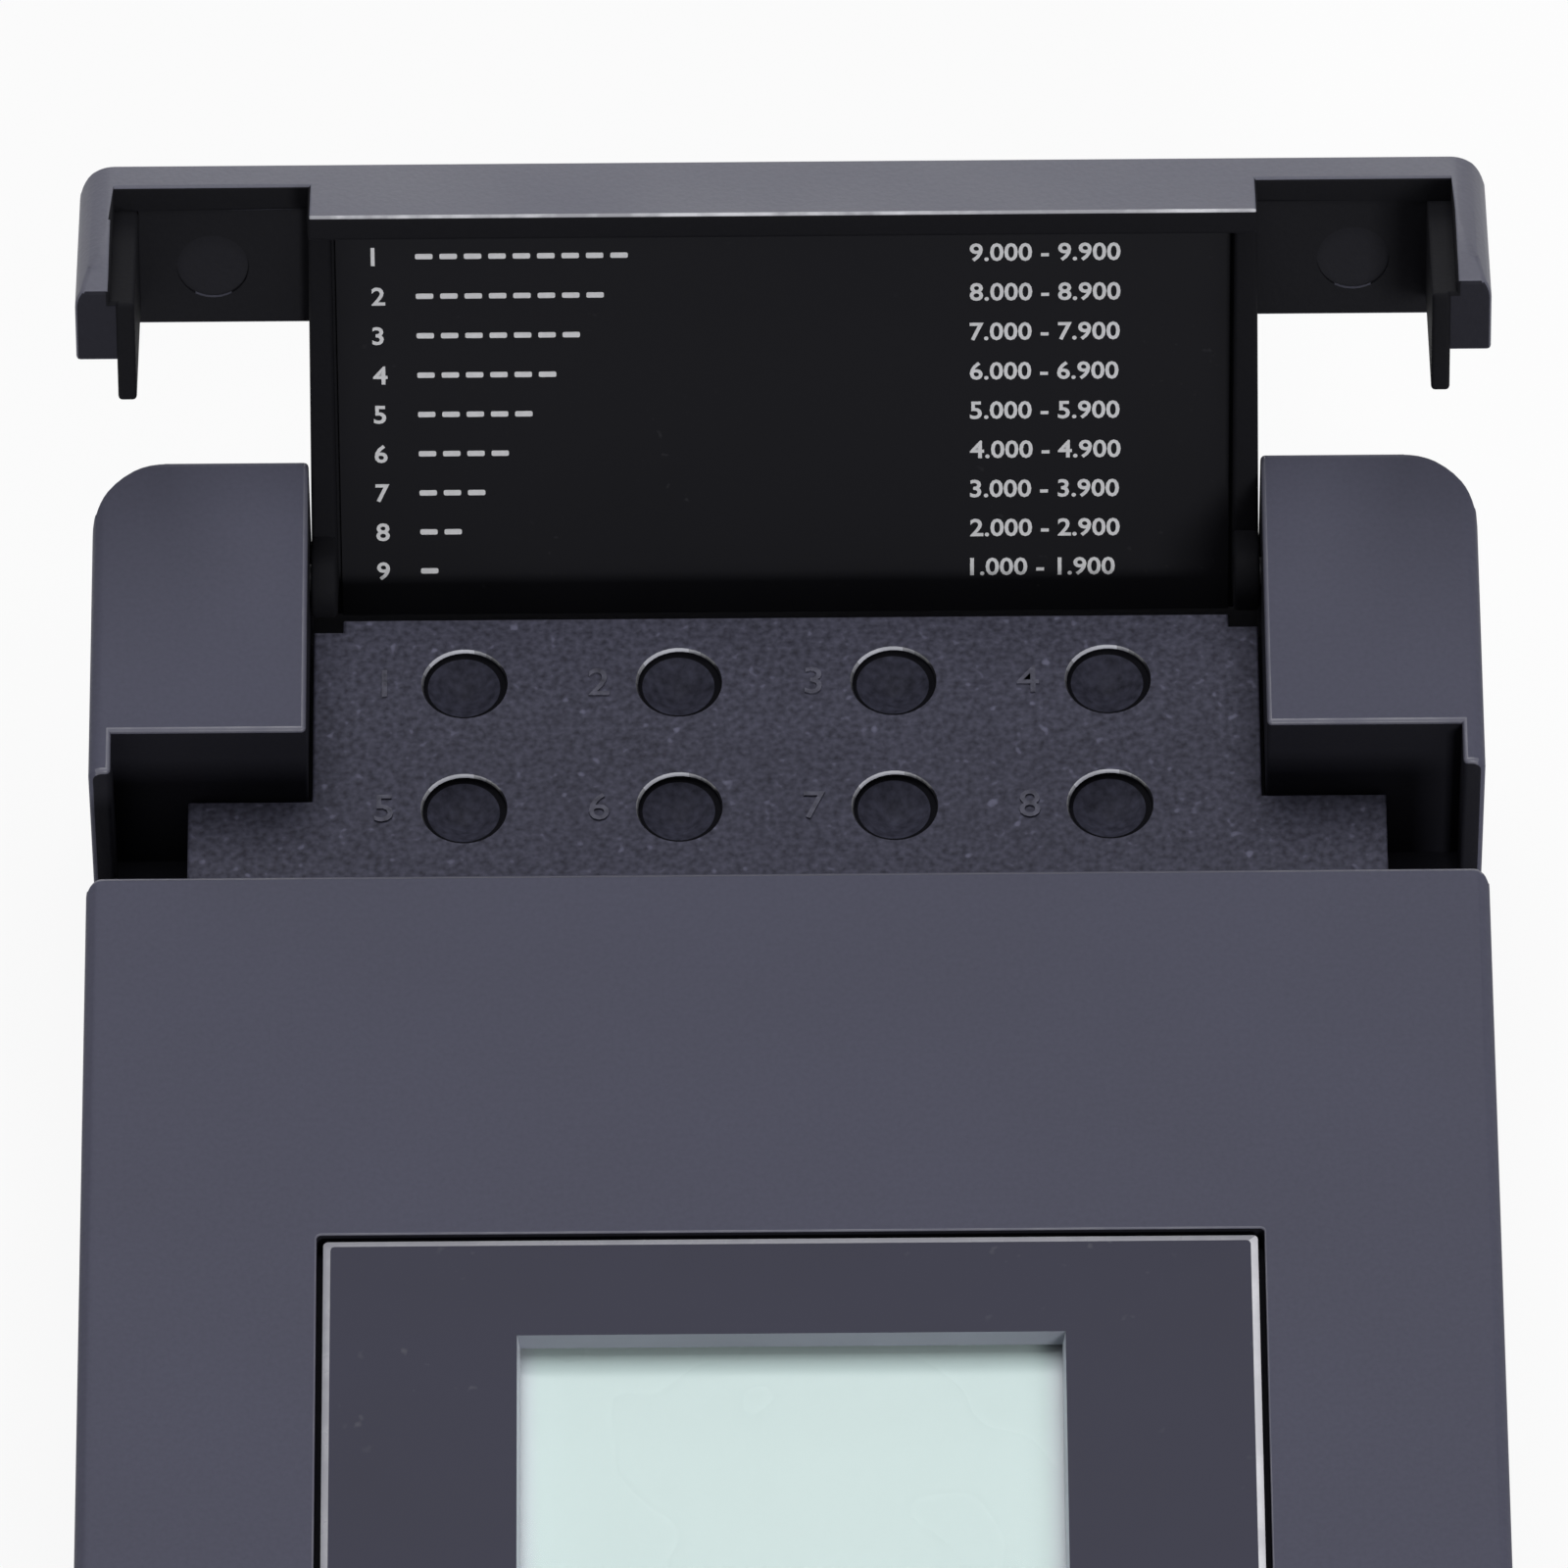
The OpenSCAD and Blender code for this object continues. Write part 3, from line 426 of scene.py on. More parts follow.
@dataclass(frozen=True)
class Metal(Finish):
    """Worked metal.

    Attributes:
        rings: Width of turned rings, in metres, or 0 for marks drawn along X.
        centre: Middle of the turned rings.
        depth: Depth of the tool marks, in metres.
    """

    rings: float = 0.0
    centre: tuple[float, float, float] = (0.0, 0.0, 0.0)
    depth: float = 0.004 * MM

    def draw(self, graph: Graph) -> None:
        """Add tool marks, drawn or turned.

        Args:
            graph: Node tree of the finish.
        """
        graph.fixed({"Metallic": 1.0})
        if self.rings:
            around = graph.moved(shift=tuple(-part for part in self.centre))
            marks = graph.wave(self.rings, around, wave_type="RINGS", rings_direction="Z")
        else:
            marks = graph.noise(1.2 * MM, 3.0, graph.moved(scale=(1, 12, 12)))
        cloud = graph.noise(4 * MM)
        graph.feed("Base Color", self.drift(graph, cloud, 0.85, 1.1))
        graph.feed("Roughness", self.gloss(graph, graph.blend(marks, cloud, 0.5), 0.07, 0.09))
        graph.bump(marks, self.depth)


@dataclass(frozen=True)
class CircuitBoard(Finish):
    """Glass-fibre board with copper tracks under its solder mask.

    Attributes:
        track: Colour of the mask over a track.
        pitch: Distance between tracks, in metres.
    """

    track: Colour = (0.03, 0.2, 0.09)
    pitch: float = 1.3 * MM

    def draw(self, graph: Graph) -> None:
        """Lay tracks along and across the board, patch by patch.

        Args:
            graph: Node tree of the finish.
        """
        lot = graph.patches(11 * MM)
        turned = graph.span(lot, 0.45, 0.5)
        other = graph.sums("SUBTRACT", graph.span(lot, 0.2, 0.25), turned)
        lines = []
        for axis, patch in (("X", turned), ("Y", other)):
            line = graph.span(graph.wave(self.pitch, bands_direction=axis), 0.7, 0.78)
            lines.append(graph.sums("MULTIPLY", line, patch))
        tracks = graph.sums("MAXIMUM", *lines)
        graph.feed("Base Color", graph.tint(tracks, self.colour, self.track))
        graph.bump(tracks, 0.02 * MM)


@dataclass(frozen=True)
class CellSleeve(Finish):
    """Printed sleeve of a battery cell, with bare metal at both ends.

    Attributes:
        bare: Colour of the ends.
        half: Half the sleeve's length, in metres.
    """

    bare: Colour = (0.62, 0.62, 0.6)
    half: float = 21 * MM

    def draw(self, graph: Graph) -> None:
        """Split the cell into sleeve and metal by its length.

        Args:
            graph: Node tree of the finish.
        """
        ends = graph.span(graph.off_middle(), self.half - 0.05 * MM, self.half + 0.05 * MM)
        cloud = graph.noise(5 * MM)
        graph.feed("Base Color", graph.tint(ends, self.drift(graph, cloud), self.bare))
        graph.feed("Metallic", ends)
        graph.feed("Roughness", self.gloss(graph, cloud, 0.06, 0.06))


@dataclass(frozen=True)
class Layered(Finish):
    """Silicone in thin conducting and plain layers.

    Attributes:
        other: Colour of the conducting layers.
        pitch: Width of two layers, in metres.
    """

    other: Colour = (0.03, 0.03, 0.032)
    pitch: float = 0.5 * MM

    def draw(self, graph: Graph) -> None:
        """Stack the layers along the strip.

        Args:
            graph: Node tree of the finish.
        """
        layer = graph.span(graph.wave(self.pitch, bands_direction="X"), 0.4, 0.6)
        graph.feed("Base Color", graph.tint(layer, self.colour, self.other))
        graph.bump(layer, 0.01 * MM)


@dataclass(frozen=True)
class DisplayGlass(Finish):
    """Reflective liquid crystal glass with no figure lit.

    Attributes:
        pitch: Distance between the cell's rows, in metres.
        half: Half the width that shows, in metres.
        fade: Width of the paler strip at each side, a painted reflection of the window's side walls, in
            metres.
        side: Colour of that painted reflection.
    """

    pitch: float = 0.4 * MM
    half: float = 14.45 * MM
    fade: float = 1.2 * MM
    side: Colour = (0.58, 0.61, 0.7)

    def draw(self, graph: Graph) -> None:
        """Add the faint grid of the cell, a slow drift in its tone and, at its sides, the paler strips of
        painted reflection.

        Args:
            graph: Node tree of the finish.
        """
        grid = graph.sums("MINIMUM", *(graph.wave(self.pitch, bands_direction=axis) for axis in "XY"))
        cloud = graph.noise(16 * MM, 2.0)
        face = self.drift(graph, graph.blend(graph.span(grid, 0.0, 0.12), cloud, 0.3), 0.96, 1.02)
        # Painted reflection: paler strips at both sides, where the window's pale side walls would show in the
        # glass.
        strip = graph.span(graph.off_middle(), self.half - self.fade, self.half, 0.0, 0.8)
        graph.feed("Base Color", graph.tint(strip, face, self.side))
        graph.feed("Roughness", self.gloss(graph, cloud, 0.04, 0.04))


STAGE_MIDDLE = (0.0, -50 * MM, 0.0)
SLATE = Moulding("slate_moulding", (0.084, 0.085, 0.12), 0.58, specular=0.08)
# Deck edges paler than the slate: partly wear, partly painted highlight where the rounded edges catch light.
SLATE_EDGE_WEAR_AND_HIGHLIGHT = Rubbed("slate_edge_wear_and_highlight", (0.092, 0.092, 0.126), 0.5, bare=(0.112, 0.112, 0.145))
# Painted shade: near-black plastic inside the lid's bay, its side notches and the display panel's recess,
# where shade falls.
PIT_SHADE = Moulding("pit_painted_shade", (0.013, 0.013, 0.0175), 0.65, specular=0.05)
# Painted light: a lighter copy of the case's slate for the lid's lip and skirts, where they catch the light.
LID_SLATE_LIT = Moulding("lid_moulding_painted_light", (0.095, 0.096, 0.128), 0.48, specular=0.3)
# Painted shade: the lid's inside, its plate, the skirts' ends and the round marks are made near-black where
# shade falls.
LID_INSIDE_SHADE = Moulding("lid_inside_painted_shade", (0.009, 0.009, 0.011), 0.65, specular=0.04)
LID_PLATE_SHADE = Moulding("lid_plate_painted_shade", (0.0125, 0.0125, 0.015), 0.65, specular=0.04)
LID_FOOT_SHADE = Moulding("lid_foot_painted_shade", (0.02, 0.02, 0.027), 0.6, specular=0.06)
LID_MARK_SHADE = Moulding("lid_mark_painted_shade", (0.017, 0.017, 0.021), 0.6, specular=0.05)
TRAY_GRAIN = Moulding("tray_grain", (0.063, 0.063, 0.091), 0.55, 0.36 * MM, 0.05 * MM, 0.42, specular=0.08,
                      octaves=1.4, spark=2.4)
# The numerals are paler than the tray: partly wear on their raised tops, partly painted highlight.
TRAY_FIGURE_WEAR_AND_HIGHLIGHT = Moulding("tray_figure_wear_and_highlight", (0.098, 0.098, 0.13), 0.5, 0.4 * MM, 0.03 * MM, 0.4, specular=0.1)
# Painted highlight on the wells' mouths: palest on one side, stepping down to painted shade on the far side.
WELL_LIT_COLOUR = (0.36, 0.365, 0.415)
WELL_LIT_PALEST = shade(WELL_LIT_COLOUR, 1.2)
WELL_LIT_STEPS = tuple(0.46 ** step for step in range(6))
WELL_MOUTH_LIGHT_AND_SHADE = tuple(Rubbed(f"well_mouth_light_and_shade_{step}", shade(WELL_LIT_COLOUR, level), 0.4, shade(WELL_LIT_PALEST, level))
                   for step, level in enumerate(WELL_LIT_STEPS))
# Painted shade: the wells' walls and the ring below them are near-black, and the cones darker than the tray.
WELL_WALL_SHADE = Moulding("well_wall_painted_shade", (0.006, 0.006, 0.008), 0.6, specular=0.03)
WELL_CONE_SHADE = Moulding("well_cone_painted_shade", (0.035, 0.0355, 0.053), 0.55, 0.5 * MM, fleck=0.45, specular=0.06)
# Lid lip's lower edge: pale, partly wear from handling and partly painted highlight.
LIP_EDGE_WEAR_AND_HIGHLIGHT = Rubbed("lip_edge_wear_and_highlight", (0.27, 0.27, 0.3), 0.42, bare=(0.55, 0.55, 0.59))
PANEL = PrintedPlate("panel_plate", (0.05, 0.05, 0.074), 0.36, (0.1, 0.1, 0.12), 0.8 * MM, 0.06)
PANEL_RIM = Rubbed("panel_rim", (0.25, 0.25, 0.285), 0.35, bare=(0.3, 0.3, 0.335))
# Painted glint: the right-hand stretch of the panel's rim is made near-white, where it catches the light.
PANEL_RIM_GLINT = Rubbed("panel_rim_painted_glint", (0.55, 0.55, 0.59), 0.35, bare=(0.64, 0.64, 0.68))
# Painted light on the window's walls: the end walls darkened as painted shade, the side walls lightened as
# painted light.
WINDOW_END_SHADE = Finish("window_end_painted_shade", (0.2, 0.21, 0.25), 0.45)
WINDOW_SIDE_LIT = Finish("window_side_painted_light", (0.62, 0.63, 0.7), 0.4)
CHART_FILM = PrintedPlate("chart_film", (0.009, 0.009, 0.0115), 0.6, (0.03, 0.03, 0.034), specular=0.1)
WHITE_INK = Ink("white_ink", (0.88, 0.88, 0.9), 0.5)
KEY_RUBBER = Moulding("key_rubber_grain", (0.15, 0.155, 0.178), 0.6, 0.35 * MM)
BLACK_MOULDING = Moulding("black_moulding", (0.014, 0.014, 0.016), 0.45)
PANE = Clear("clear_acrylic", (0.85, 0.9, 0.92), 0.06, cover=0.04)
RESIN = Clear("clear_resin", (0.75, 0.82, 0.9), 0.1, cover=0.45)
LCD_FACE = DisplayGlass("display_glass", (0.63, 0.785, 0.76), 0.28)
BOARD = CircuitBoard("circuit_board", (0.012, 0.09, 0.04), 0.35)
STEEL = Metal("plated_steel", (0.6, 0.6, 0.62), 0.3)
BLACKENED = Metal("blackened_steel", (0.05, 0.05, 0.055), 0.45)
TURNED = Metal("turned_stage", (0.42, 0.43, 0.45), 0.55, 0.4 * MM, STAGE_MIDDLE, 0.012 * MM)
SPRING_METAL = Metal("contact_spring", (0.62, 0.56, 0.4), 0.28)
CELL = CellSleeve("cell_sleeve", (0.03, 0.05, 0.12), 0.36)
ZEBRA = Layered("zebra_strip", (0.32, 0.32, 0.34), 0.6)


def copied(node: str) -> Shape:
    """Copy a solid.

    Args:
        node: Name of the solid.

    Returns:
        The copy, with its triangles joined.
    """
    shape = bmesh.new()
    shape.from_mesh(frame["nodes"][node].data)
    bmesh.ops.remove_doubles(shape, verts=shape.verts, dist=MERGE)
    bmesh.ops.dissolve_limit(shape, angle_limit=FLAT_ANGLE, verts=shape.verts, edges=shape.edges)
    return shape


def soften(shape: Shape, width: float, chosen: Callable[[Vector], bool], segments: int = 3) -> list[Face]:
    """Round some of a shape's outer edges.

    Args:
        shape: Shape to change.
        width: Width of the rounding, in metres.
        chosen: Says of an edge's middle whether that edge is rounded.
        segments: Steps of the rounding.

    Returns:
        The faces of the roundings.
    """
    edges = [edge for edge in shape.edges
             if edge.is_manifold and edge.is_convex and edge.calc_face_angle() > SHARP_ANGLE
             and chosen((edge.verts[0].co + edge.verts[1].co) / 2)]
    made = bmesh.ops.bevel(shape, geom=edges, offset=width, offset_type="OFFSET", segments=segments,
                           profile=0.5, affect="EDGES", material=-1, clamp_overlap=False, loop_slide=True)
    return made["faces"]


def place(shape: Shape, name: str, body: Body, slot: str, finishes: Sequence[Finish],
          nodes: Iterable[str] = ()) -> None:
    """Turn a finished shape into a piece of the meter.

    Args:
        shape: Shape in the meter's own frame. It is freed.
        name: Name of the piece.
        body: Body that the piece moves with.
        slot: Slot of the record that the piece takes its finish from; not used.
        finishes: Finishes, in the order of the faces' numbers.
        nodes: Solids that the piece stands for.
    """
    mesh = bpy.data.meshes.new(name)
    shape.to_mesh(mesh)
    shape.free()
    old_normals = mesh.attributes.get("custom_normal")
    if old_normals:
        mesh.attributes.remove(old_normals)
    for finish in finishes:
        mesh.materials.append(finish.material())
    mesh.shade_smooth()
    mesh.set_sharp_from_angle(angle=CRISP_SHADING)
    piece = bpy.data.objects.new(name, mesh)
    bpy.context.scene.collection.objects.link(piece)
    normals = piece.modifiers.new("even_normals", "WEIGHTED_NORMAL")
    normals.keep_sharp = True
    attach(piece, body.value)
    if nodes:
        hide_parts(*nodes)
    log.info("%s rides %s: %d faces", name, body.value, len(mesh.polygons))


def dress(finish: Finish, *nodes: str) -> None:
    """Give solids that show as they are a finish.

    Args:
        finish: Finish of the solids.
        nodes: Names of the solids.
    """
    for node in nodes:
        for slot in frame["nodes"][node].material_slots:
            slot.material = finish.material()
        log.info("%s keeps its solid, in %s", node, finish.name)


def join(target: Shape, part: Shape, where: Matrix) -> None:
    """Add a part to a shape.

    Args:
        target: Shape that grows.
        part: Part to add. It is freed.
        where: Place of the part.
    """
    part.transform(where)
    carrier = bpy.data.meshes.new("carrier")
    part.to_mesh(carrier)
    part.free()
    target.from_mesh(carrier)
    bpy.data.meshes.remove(carrier)


def numerals(text: str, height: float, depth: float, heavier: float) -> Shape:
    """Make plain numerals that lie on the XY plane.

    Args:
        text: Numerals to write.
        height: Height of a numeral, in metres.
        depth: Thickness upwards, in metres.
        heavier: Share of the height by which the strokes grow.

    Returns:
        The numerals, with their lower left corner at the origin.
    """
    curve = bpy.data.curves.new("numerals", "FONT")
    curve.body = text
    curve.resolution_u = 3
    curve.offset = heavier
    curve.extrude = 0.5
    holder = bpy.data.objects.new("numerals", curve)
    bpy.context.scene.collection.objects.link(holder)
    bpy.context.view_layer.update()
    mesh = bpy.data.meshes.new_from_object(holder.evaluated_get(bpy.context.evaluated_depsgraph_get()))
    bpy.data.objects.remove(holder)
    bpy.data.curves.remove(curve)
    shape = bmesh.new()
    shape.from_mesh(mesh)
    bpy.data.meshes.remove(mesh)
    bmesh.ops.remove_doubles(shape, verts=shape.verts, dist=1e-5)
    spread = list(zip(*(vert.co for vert in shape.verts)))
    low, high = Vector([min(part) for part in spread]), Vector([max(part) for part in spread])
    scale = height / (high.y - low.y)
    sized = Matrix.Diagonal((scale, scale, depth / (high.z - low.z), 1.0))
    shape.transform(sized @ Matrix.Translation(-low))
    return shape


def slab(size: Sequence[float], edge: float = 0.0) -> Shape:
    """Make a block on the XY plane, centred in X and Y.

    Args:
        size: Width, length and height, in metres.
        edge: Rounding of its upright edges, in metres.

    Returns:
        The block.
    """
    shape = bmesh.new()
    bmesh.ops.create_cube(shape, size=1.0)
    shape.transform(Matrix.Diagonal((*size, 1.0)) @ Matrix.Translation((0, 0, 0.5)))
    if edge:
        upright = [side for side in shape.edges
                   if abs(side.verts[0].co.z - side.verts[1].co.z) > size[2] / 2]
        bmesh.ops.bevel(shape, geom=upright, offset=edge, offset_type="OFFSET", segments=4, profile=0.5,
                        affect="EDGES", material=-1)
    return shape


def bar(radius: float, height: float, sides: int) -> Shape:
    """Make an upright bar on the XY plane, round or with few sides.

    Args:
        radius: Radius of the bar, in metres.
        height: Height of the bar, in metres.
        sides: Number of its sides.

    Returns:
        The bar.
    """
    shape = bmesh.new()
    bmesh.ops.create_cone(shape, cap_ends=True, segments=sides, radius1=radius, radius2=radius,
                          depth=height, matrix=Matrix.Translation((0, 0, height / 2)))
    return shape


def arc(radius: float, width: float, height: float, start: float, sweep: float) -> Shape:
    """Make a part of a flat ring on the XY plane.

    Args:
        radius: Radius of its middle line, in metres.
        width: Width of the ring, in metres.
        height: Thickness upwards, in metres.
        start: Angle at which it starts, in degrees from +X.
        sweep: Angle that it covers, in degrees.

    Returns:
        The part of a ring.
    """
    shape = bmesh.new()
    near, far = radius - width / 2, radius + width / 2
    verts = [shape.verts.new((x, 0, z)) for x, z in ((near, 0), (far, 0), (far, height), (near, height))]
    edges = [shape.edges.new((verts[i - 1], verts[i])) for i in range(4)]
    bmesh.ops.spin(shape, geom=[*verts, *edges, shape.faces.new(verts)], cent=(0, 0, 0), axis=(0, 0, 1),
                   angle=math.radians(sweep), steps=40, use_merge=False)
    bmesh.ops.remove_doubles(shape, verts=shape.verts, dist=MERGE)
    bmesh.ops.recalc_face_normals(shape, faces=shape.faces)
    shape.transform(Matrix.Rotation(math.radians(start), 4, "Z"))
    return shape


def points_of(geometry: Iterable[object]) -> list[bmesh.types.BMVert]:
    """Pick the points out of what an operator made."""
    return [item for item in geometry if isinstance(item, bmesh.types.BMVert)]


def drawn(shape: Shape, edges: Sequence[Edge], drop: float, scale: Sequence[float], about: Vector,
          layer: int) -> list[Edge]:
    """Draw a loop of edges on to a new height and width.

    Args:
        shape: Shape that grows.
        edges: Loop to draw on.
        drop: Change of height.
        scale: Change of width along each axis.
        about: Middle of the change of width.
        layer: Number of the new faces' finish.

    Returns:
        The new loop.
    """
    grown = bmesh.ops.extrude_edge_only(shape, edges=edges)["geom"]
    verts = points_of(grown)
    bmesh.ops.scale(shape, verts=verts, vec=scale, space=Matrix.Translation((-about.x, -about.y, 0.0)))
    bmesh.ops.translate(shape, verts=verts, vec=(0, 0, drop))
    for item in grown:
        if isinstance(item, Face):
            item.material_index = layer
    return [item for item in grown if isinstance(item, Edge) and item.is_boundary]


@dataclass
class CaseShells:
    """Upper and lower halves of the case, and the screws that join them.

    Attributes:
        half_w: Half the case's width.
        half_l: Half the case's length.
        front_corner: Radius of the case's front corners.
        rear_corner: Radius of the case's rear corners.
        deck: Height of the deck.
        bay_y: Where the deck ends and the lid's bay starts.
        bay_z: Lowest height of the bay that shows.
        skin: Depth of the outer skin in which every edge is rounded.
        edge: Rounding of the case's edges.
        crisp: Rounding of the edges round the display panel.
        panel_gap: Gap round the display panel, with a little room.
        rubbed_y: Y behind which the deck's rounded edges are paler, partly from wear and partly as painted
            highlight.
        head: Diameter and height of a screw's head.
        shank_d: Diameter of a screw's shank.
        recess: Half the span of the cross recess.
        taper: Share of that span at the recess's bottom.
        sunk: Depth of the recess, as a share of the head's height.
    """

    half_w: float = 37.6 * MM
    half_l: float = 75 * MM
    front_corner: float = 6 * MM
    rear_corner: float = 4.8 * MM
    deck: float = 27 * MM
    bay_y: float = 46.5 * MM
    bay_z: float = 14.5 * MM
    skin: float = 0.4 * MM
    edge: float = 0.25 * MM
    crisp: float = 0.09 * MM
    panel_gap: float = 0.45 * MM
    rubbed_y: float = -14 * MM
    head: tuple[float, float] = (4.6 * MM, 1.8 * MM)
    shank_d: float = 2.5 * MM
    recess: float = 1.35 * MM
    taper: float = 0.8
    sunk: float = 0.6

    def on_skin(self, point: Vector) -> bool:
        """Say whether a point lies in the case's outer skin, along its sides or round its corners.

        Args:
            point: Point of the case.

        Returns:
            Whether it does.
        """
        corner = self.front_corner if point.y < 0 else self.rear_corner
        beyond = (abs(point.x) - self.half_w + corner, abs(point.y) - self.half_l + corner)
        return math.hypot(*(max(part, 0.0) for part in beyond)) > corner - self.skin

    def round_panel(self, point: Vector) -> bool:
        """Say whether a point lies in the display panel's recess or on its edge.

        Args:
            point: Point of the case.

        Returns:
            Whether it does.
        """
        gap = self.panel_gap
        low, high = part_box("display_bezel")
        return all(low[axis] - gap < point[axis] < high[axis] + gap for axis in (0, 1))

    def in_bay(self, point: Vector) -> bool:
        """Say whether a point lies in the part of the lid's bay that shows."""
        return point.y > self.bay_y and point.z > self.bay_z

    def shows_on_top(self, point: Vector) -> bool:
        """Say whether an edge of the upper half at a point shows from outside and is well rounded."""
        on_deck = point.z > self.deck - self.skin and not self.round_panel(point)
        return self.in_bay(point) or on_deck or self.on_skin(point)

    def is_crisp(self, point: Vector) -> bool:
        """Say whether a point lies on the deck's edge round the display panel."""
        return point.z > self.deck - self.crisp and self.round_panel(point)

    def shows_below(self, point: Vector) -> bool:
        """Say whether a point of the lower half shows from outside."""
        return point.z < self.skin or self.on_skin(point)

    def finish_at(self, point: Vector, rounded: bool) -> int:
        """Choose the finish of one face of the upper half.

        Args:
            point: Middle of the face.
            rounded: Whether the face belongs to a rounded edge.

        Returns:
            0 for the outside, 1 for a rounded deck edge paled partly by wear and partly by painted highlight,
            2 for painted shade inside the lid's bay and in the display panel's recess.
        """
        if self.on_skin(point):
            return 0
        # The display panel's recess and, further down, the lid's bay take the painted shade.
        if self.round_panel(point) and not rounded:
            return 2
        if point.z > self.deck - self.skin:
            # Rounded deck edges behind that Y are paled partly by wear and partly by painted highlight.
            return 1 if rounded and point.y > self.rubbed_y else 0
        return 2 if self.in_bay(point) else 0

    def screw(self, length: float) -> Shape:
        """Make a screw with a cross recess, its head's face down on the XY plane.

        Args:
            length: Whole length of the screw.

        Returns:
            The screw.
        """
        wide, tall = self.head
        head = bmesh.new()
        bmesh.ops.create_grid(head, x_segments=3, y_segments=3, size=self.recess)
        corners = [face for face in head.faces
                   if min(abs(part) for part in face.calc_center_median().xy) > self.recess / 3]
        bmesh.ops.delete(head, geom=corners, context="FACES")
        cross = list(head.faces)
        inner = [edge for edge in head.edges if edge.is_boundary]
        rim = bmesh.ops.create_circle(head, segments=48, radius=wide / 2)["verts"]
        outer = list({edge for vert in rim for edge in vert.link_edges})
        bmesh.ops.bridge_loops(head, edges=inner + outer)
        raised = points_of(bmesh.ops.extrude_edge_only(head, edges=outer)["geom"])
        bmesh.ops.translate(head, verts=raised, vec=(0, 0, tall))
        bmesh.ops.contextual_create(head, geom=raised)
        floor = points_of(bmesh.ops.extrude_face_region(head, geom=cross)["geom"])
        bmesh.ops.delete(head, geom=[face for face in cross if face.is_valid], context="FACES_ONLY")
        bmesh.ops.scale(head, verts=floor, vec=(self.taper, self.taper, 1.0))
        bmesh.ops.translate(head, verts=floor, vec=(0, 0, tall * self.sunk))
        bmesh.ops.recalc_face_normals(head, faces=head.faces)
        join(head, bar(self.shank_d / 2, length - tall / 2, 32), Matrix.Translation((0, 0, tall / 2)))
        return head

    def build(self) -> None:
        """Round the shells' edges and set the screws."""
        top = copied("top_shell")
        for width, chosen, steps in ((self.edge, self.shows_on_top, 3), (self.crisp, self.is_crisp, 2)):
            for face in soften(top, width, chosen, steps):
                face.material_index = 1
        for face in top.faces:
            face.material_index = self.finish_at(face.calc_center_median(), face.material_index == 1)
        # The deck's pale edges are partly wear and partly painted highlight; the bay's dark finish is painted
        # shade.
        place(top, "case_top", Body.CASE, "case_plastic", [SLATE, SLATE_EDGE_WEAR_AND_HIGHLIGHT, PIT_SHADE], ["top_shell"])
        low = copied("bottom_shell")
        soften(low, self.edge, self.shows_below)
        place(low, "case_bottom", Body.CASE, "case_plastic", [SLATE], ["bottom_shell"])
        under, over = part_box("case_screws")
        inset = self.head[0] / 2
        screws = bmesh.new()
        for side in (under.x + inset, over.x - inset):
            for end in (under.y + inset, over.y - inset):
                join(screws, self.screw(over.z - under.z), Matrix.Translation((side, end, under.z)))
        place(screws, "case_cross_screws", Body.CASE, "steel", [STEEL], ["case_screws"])


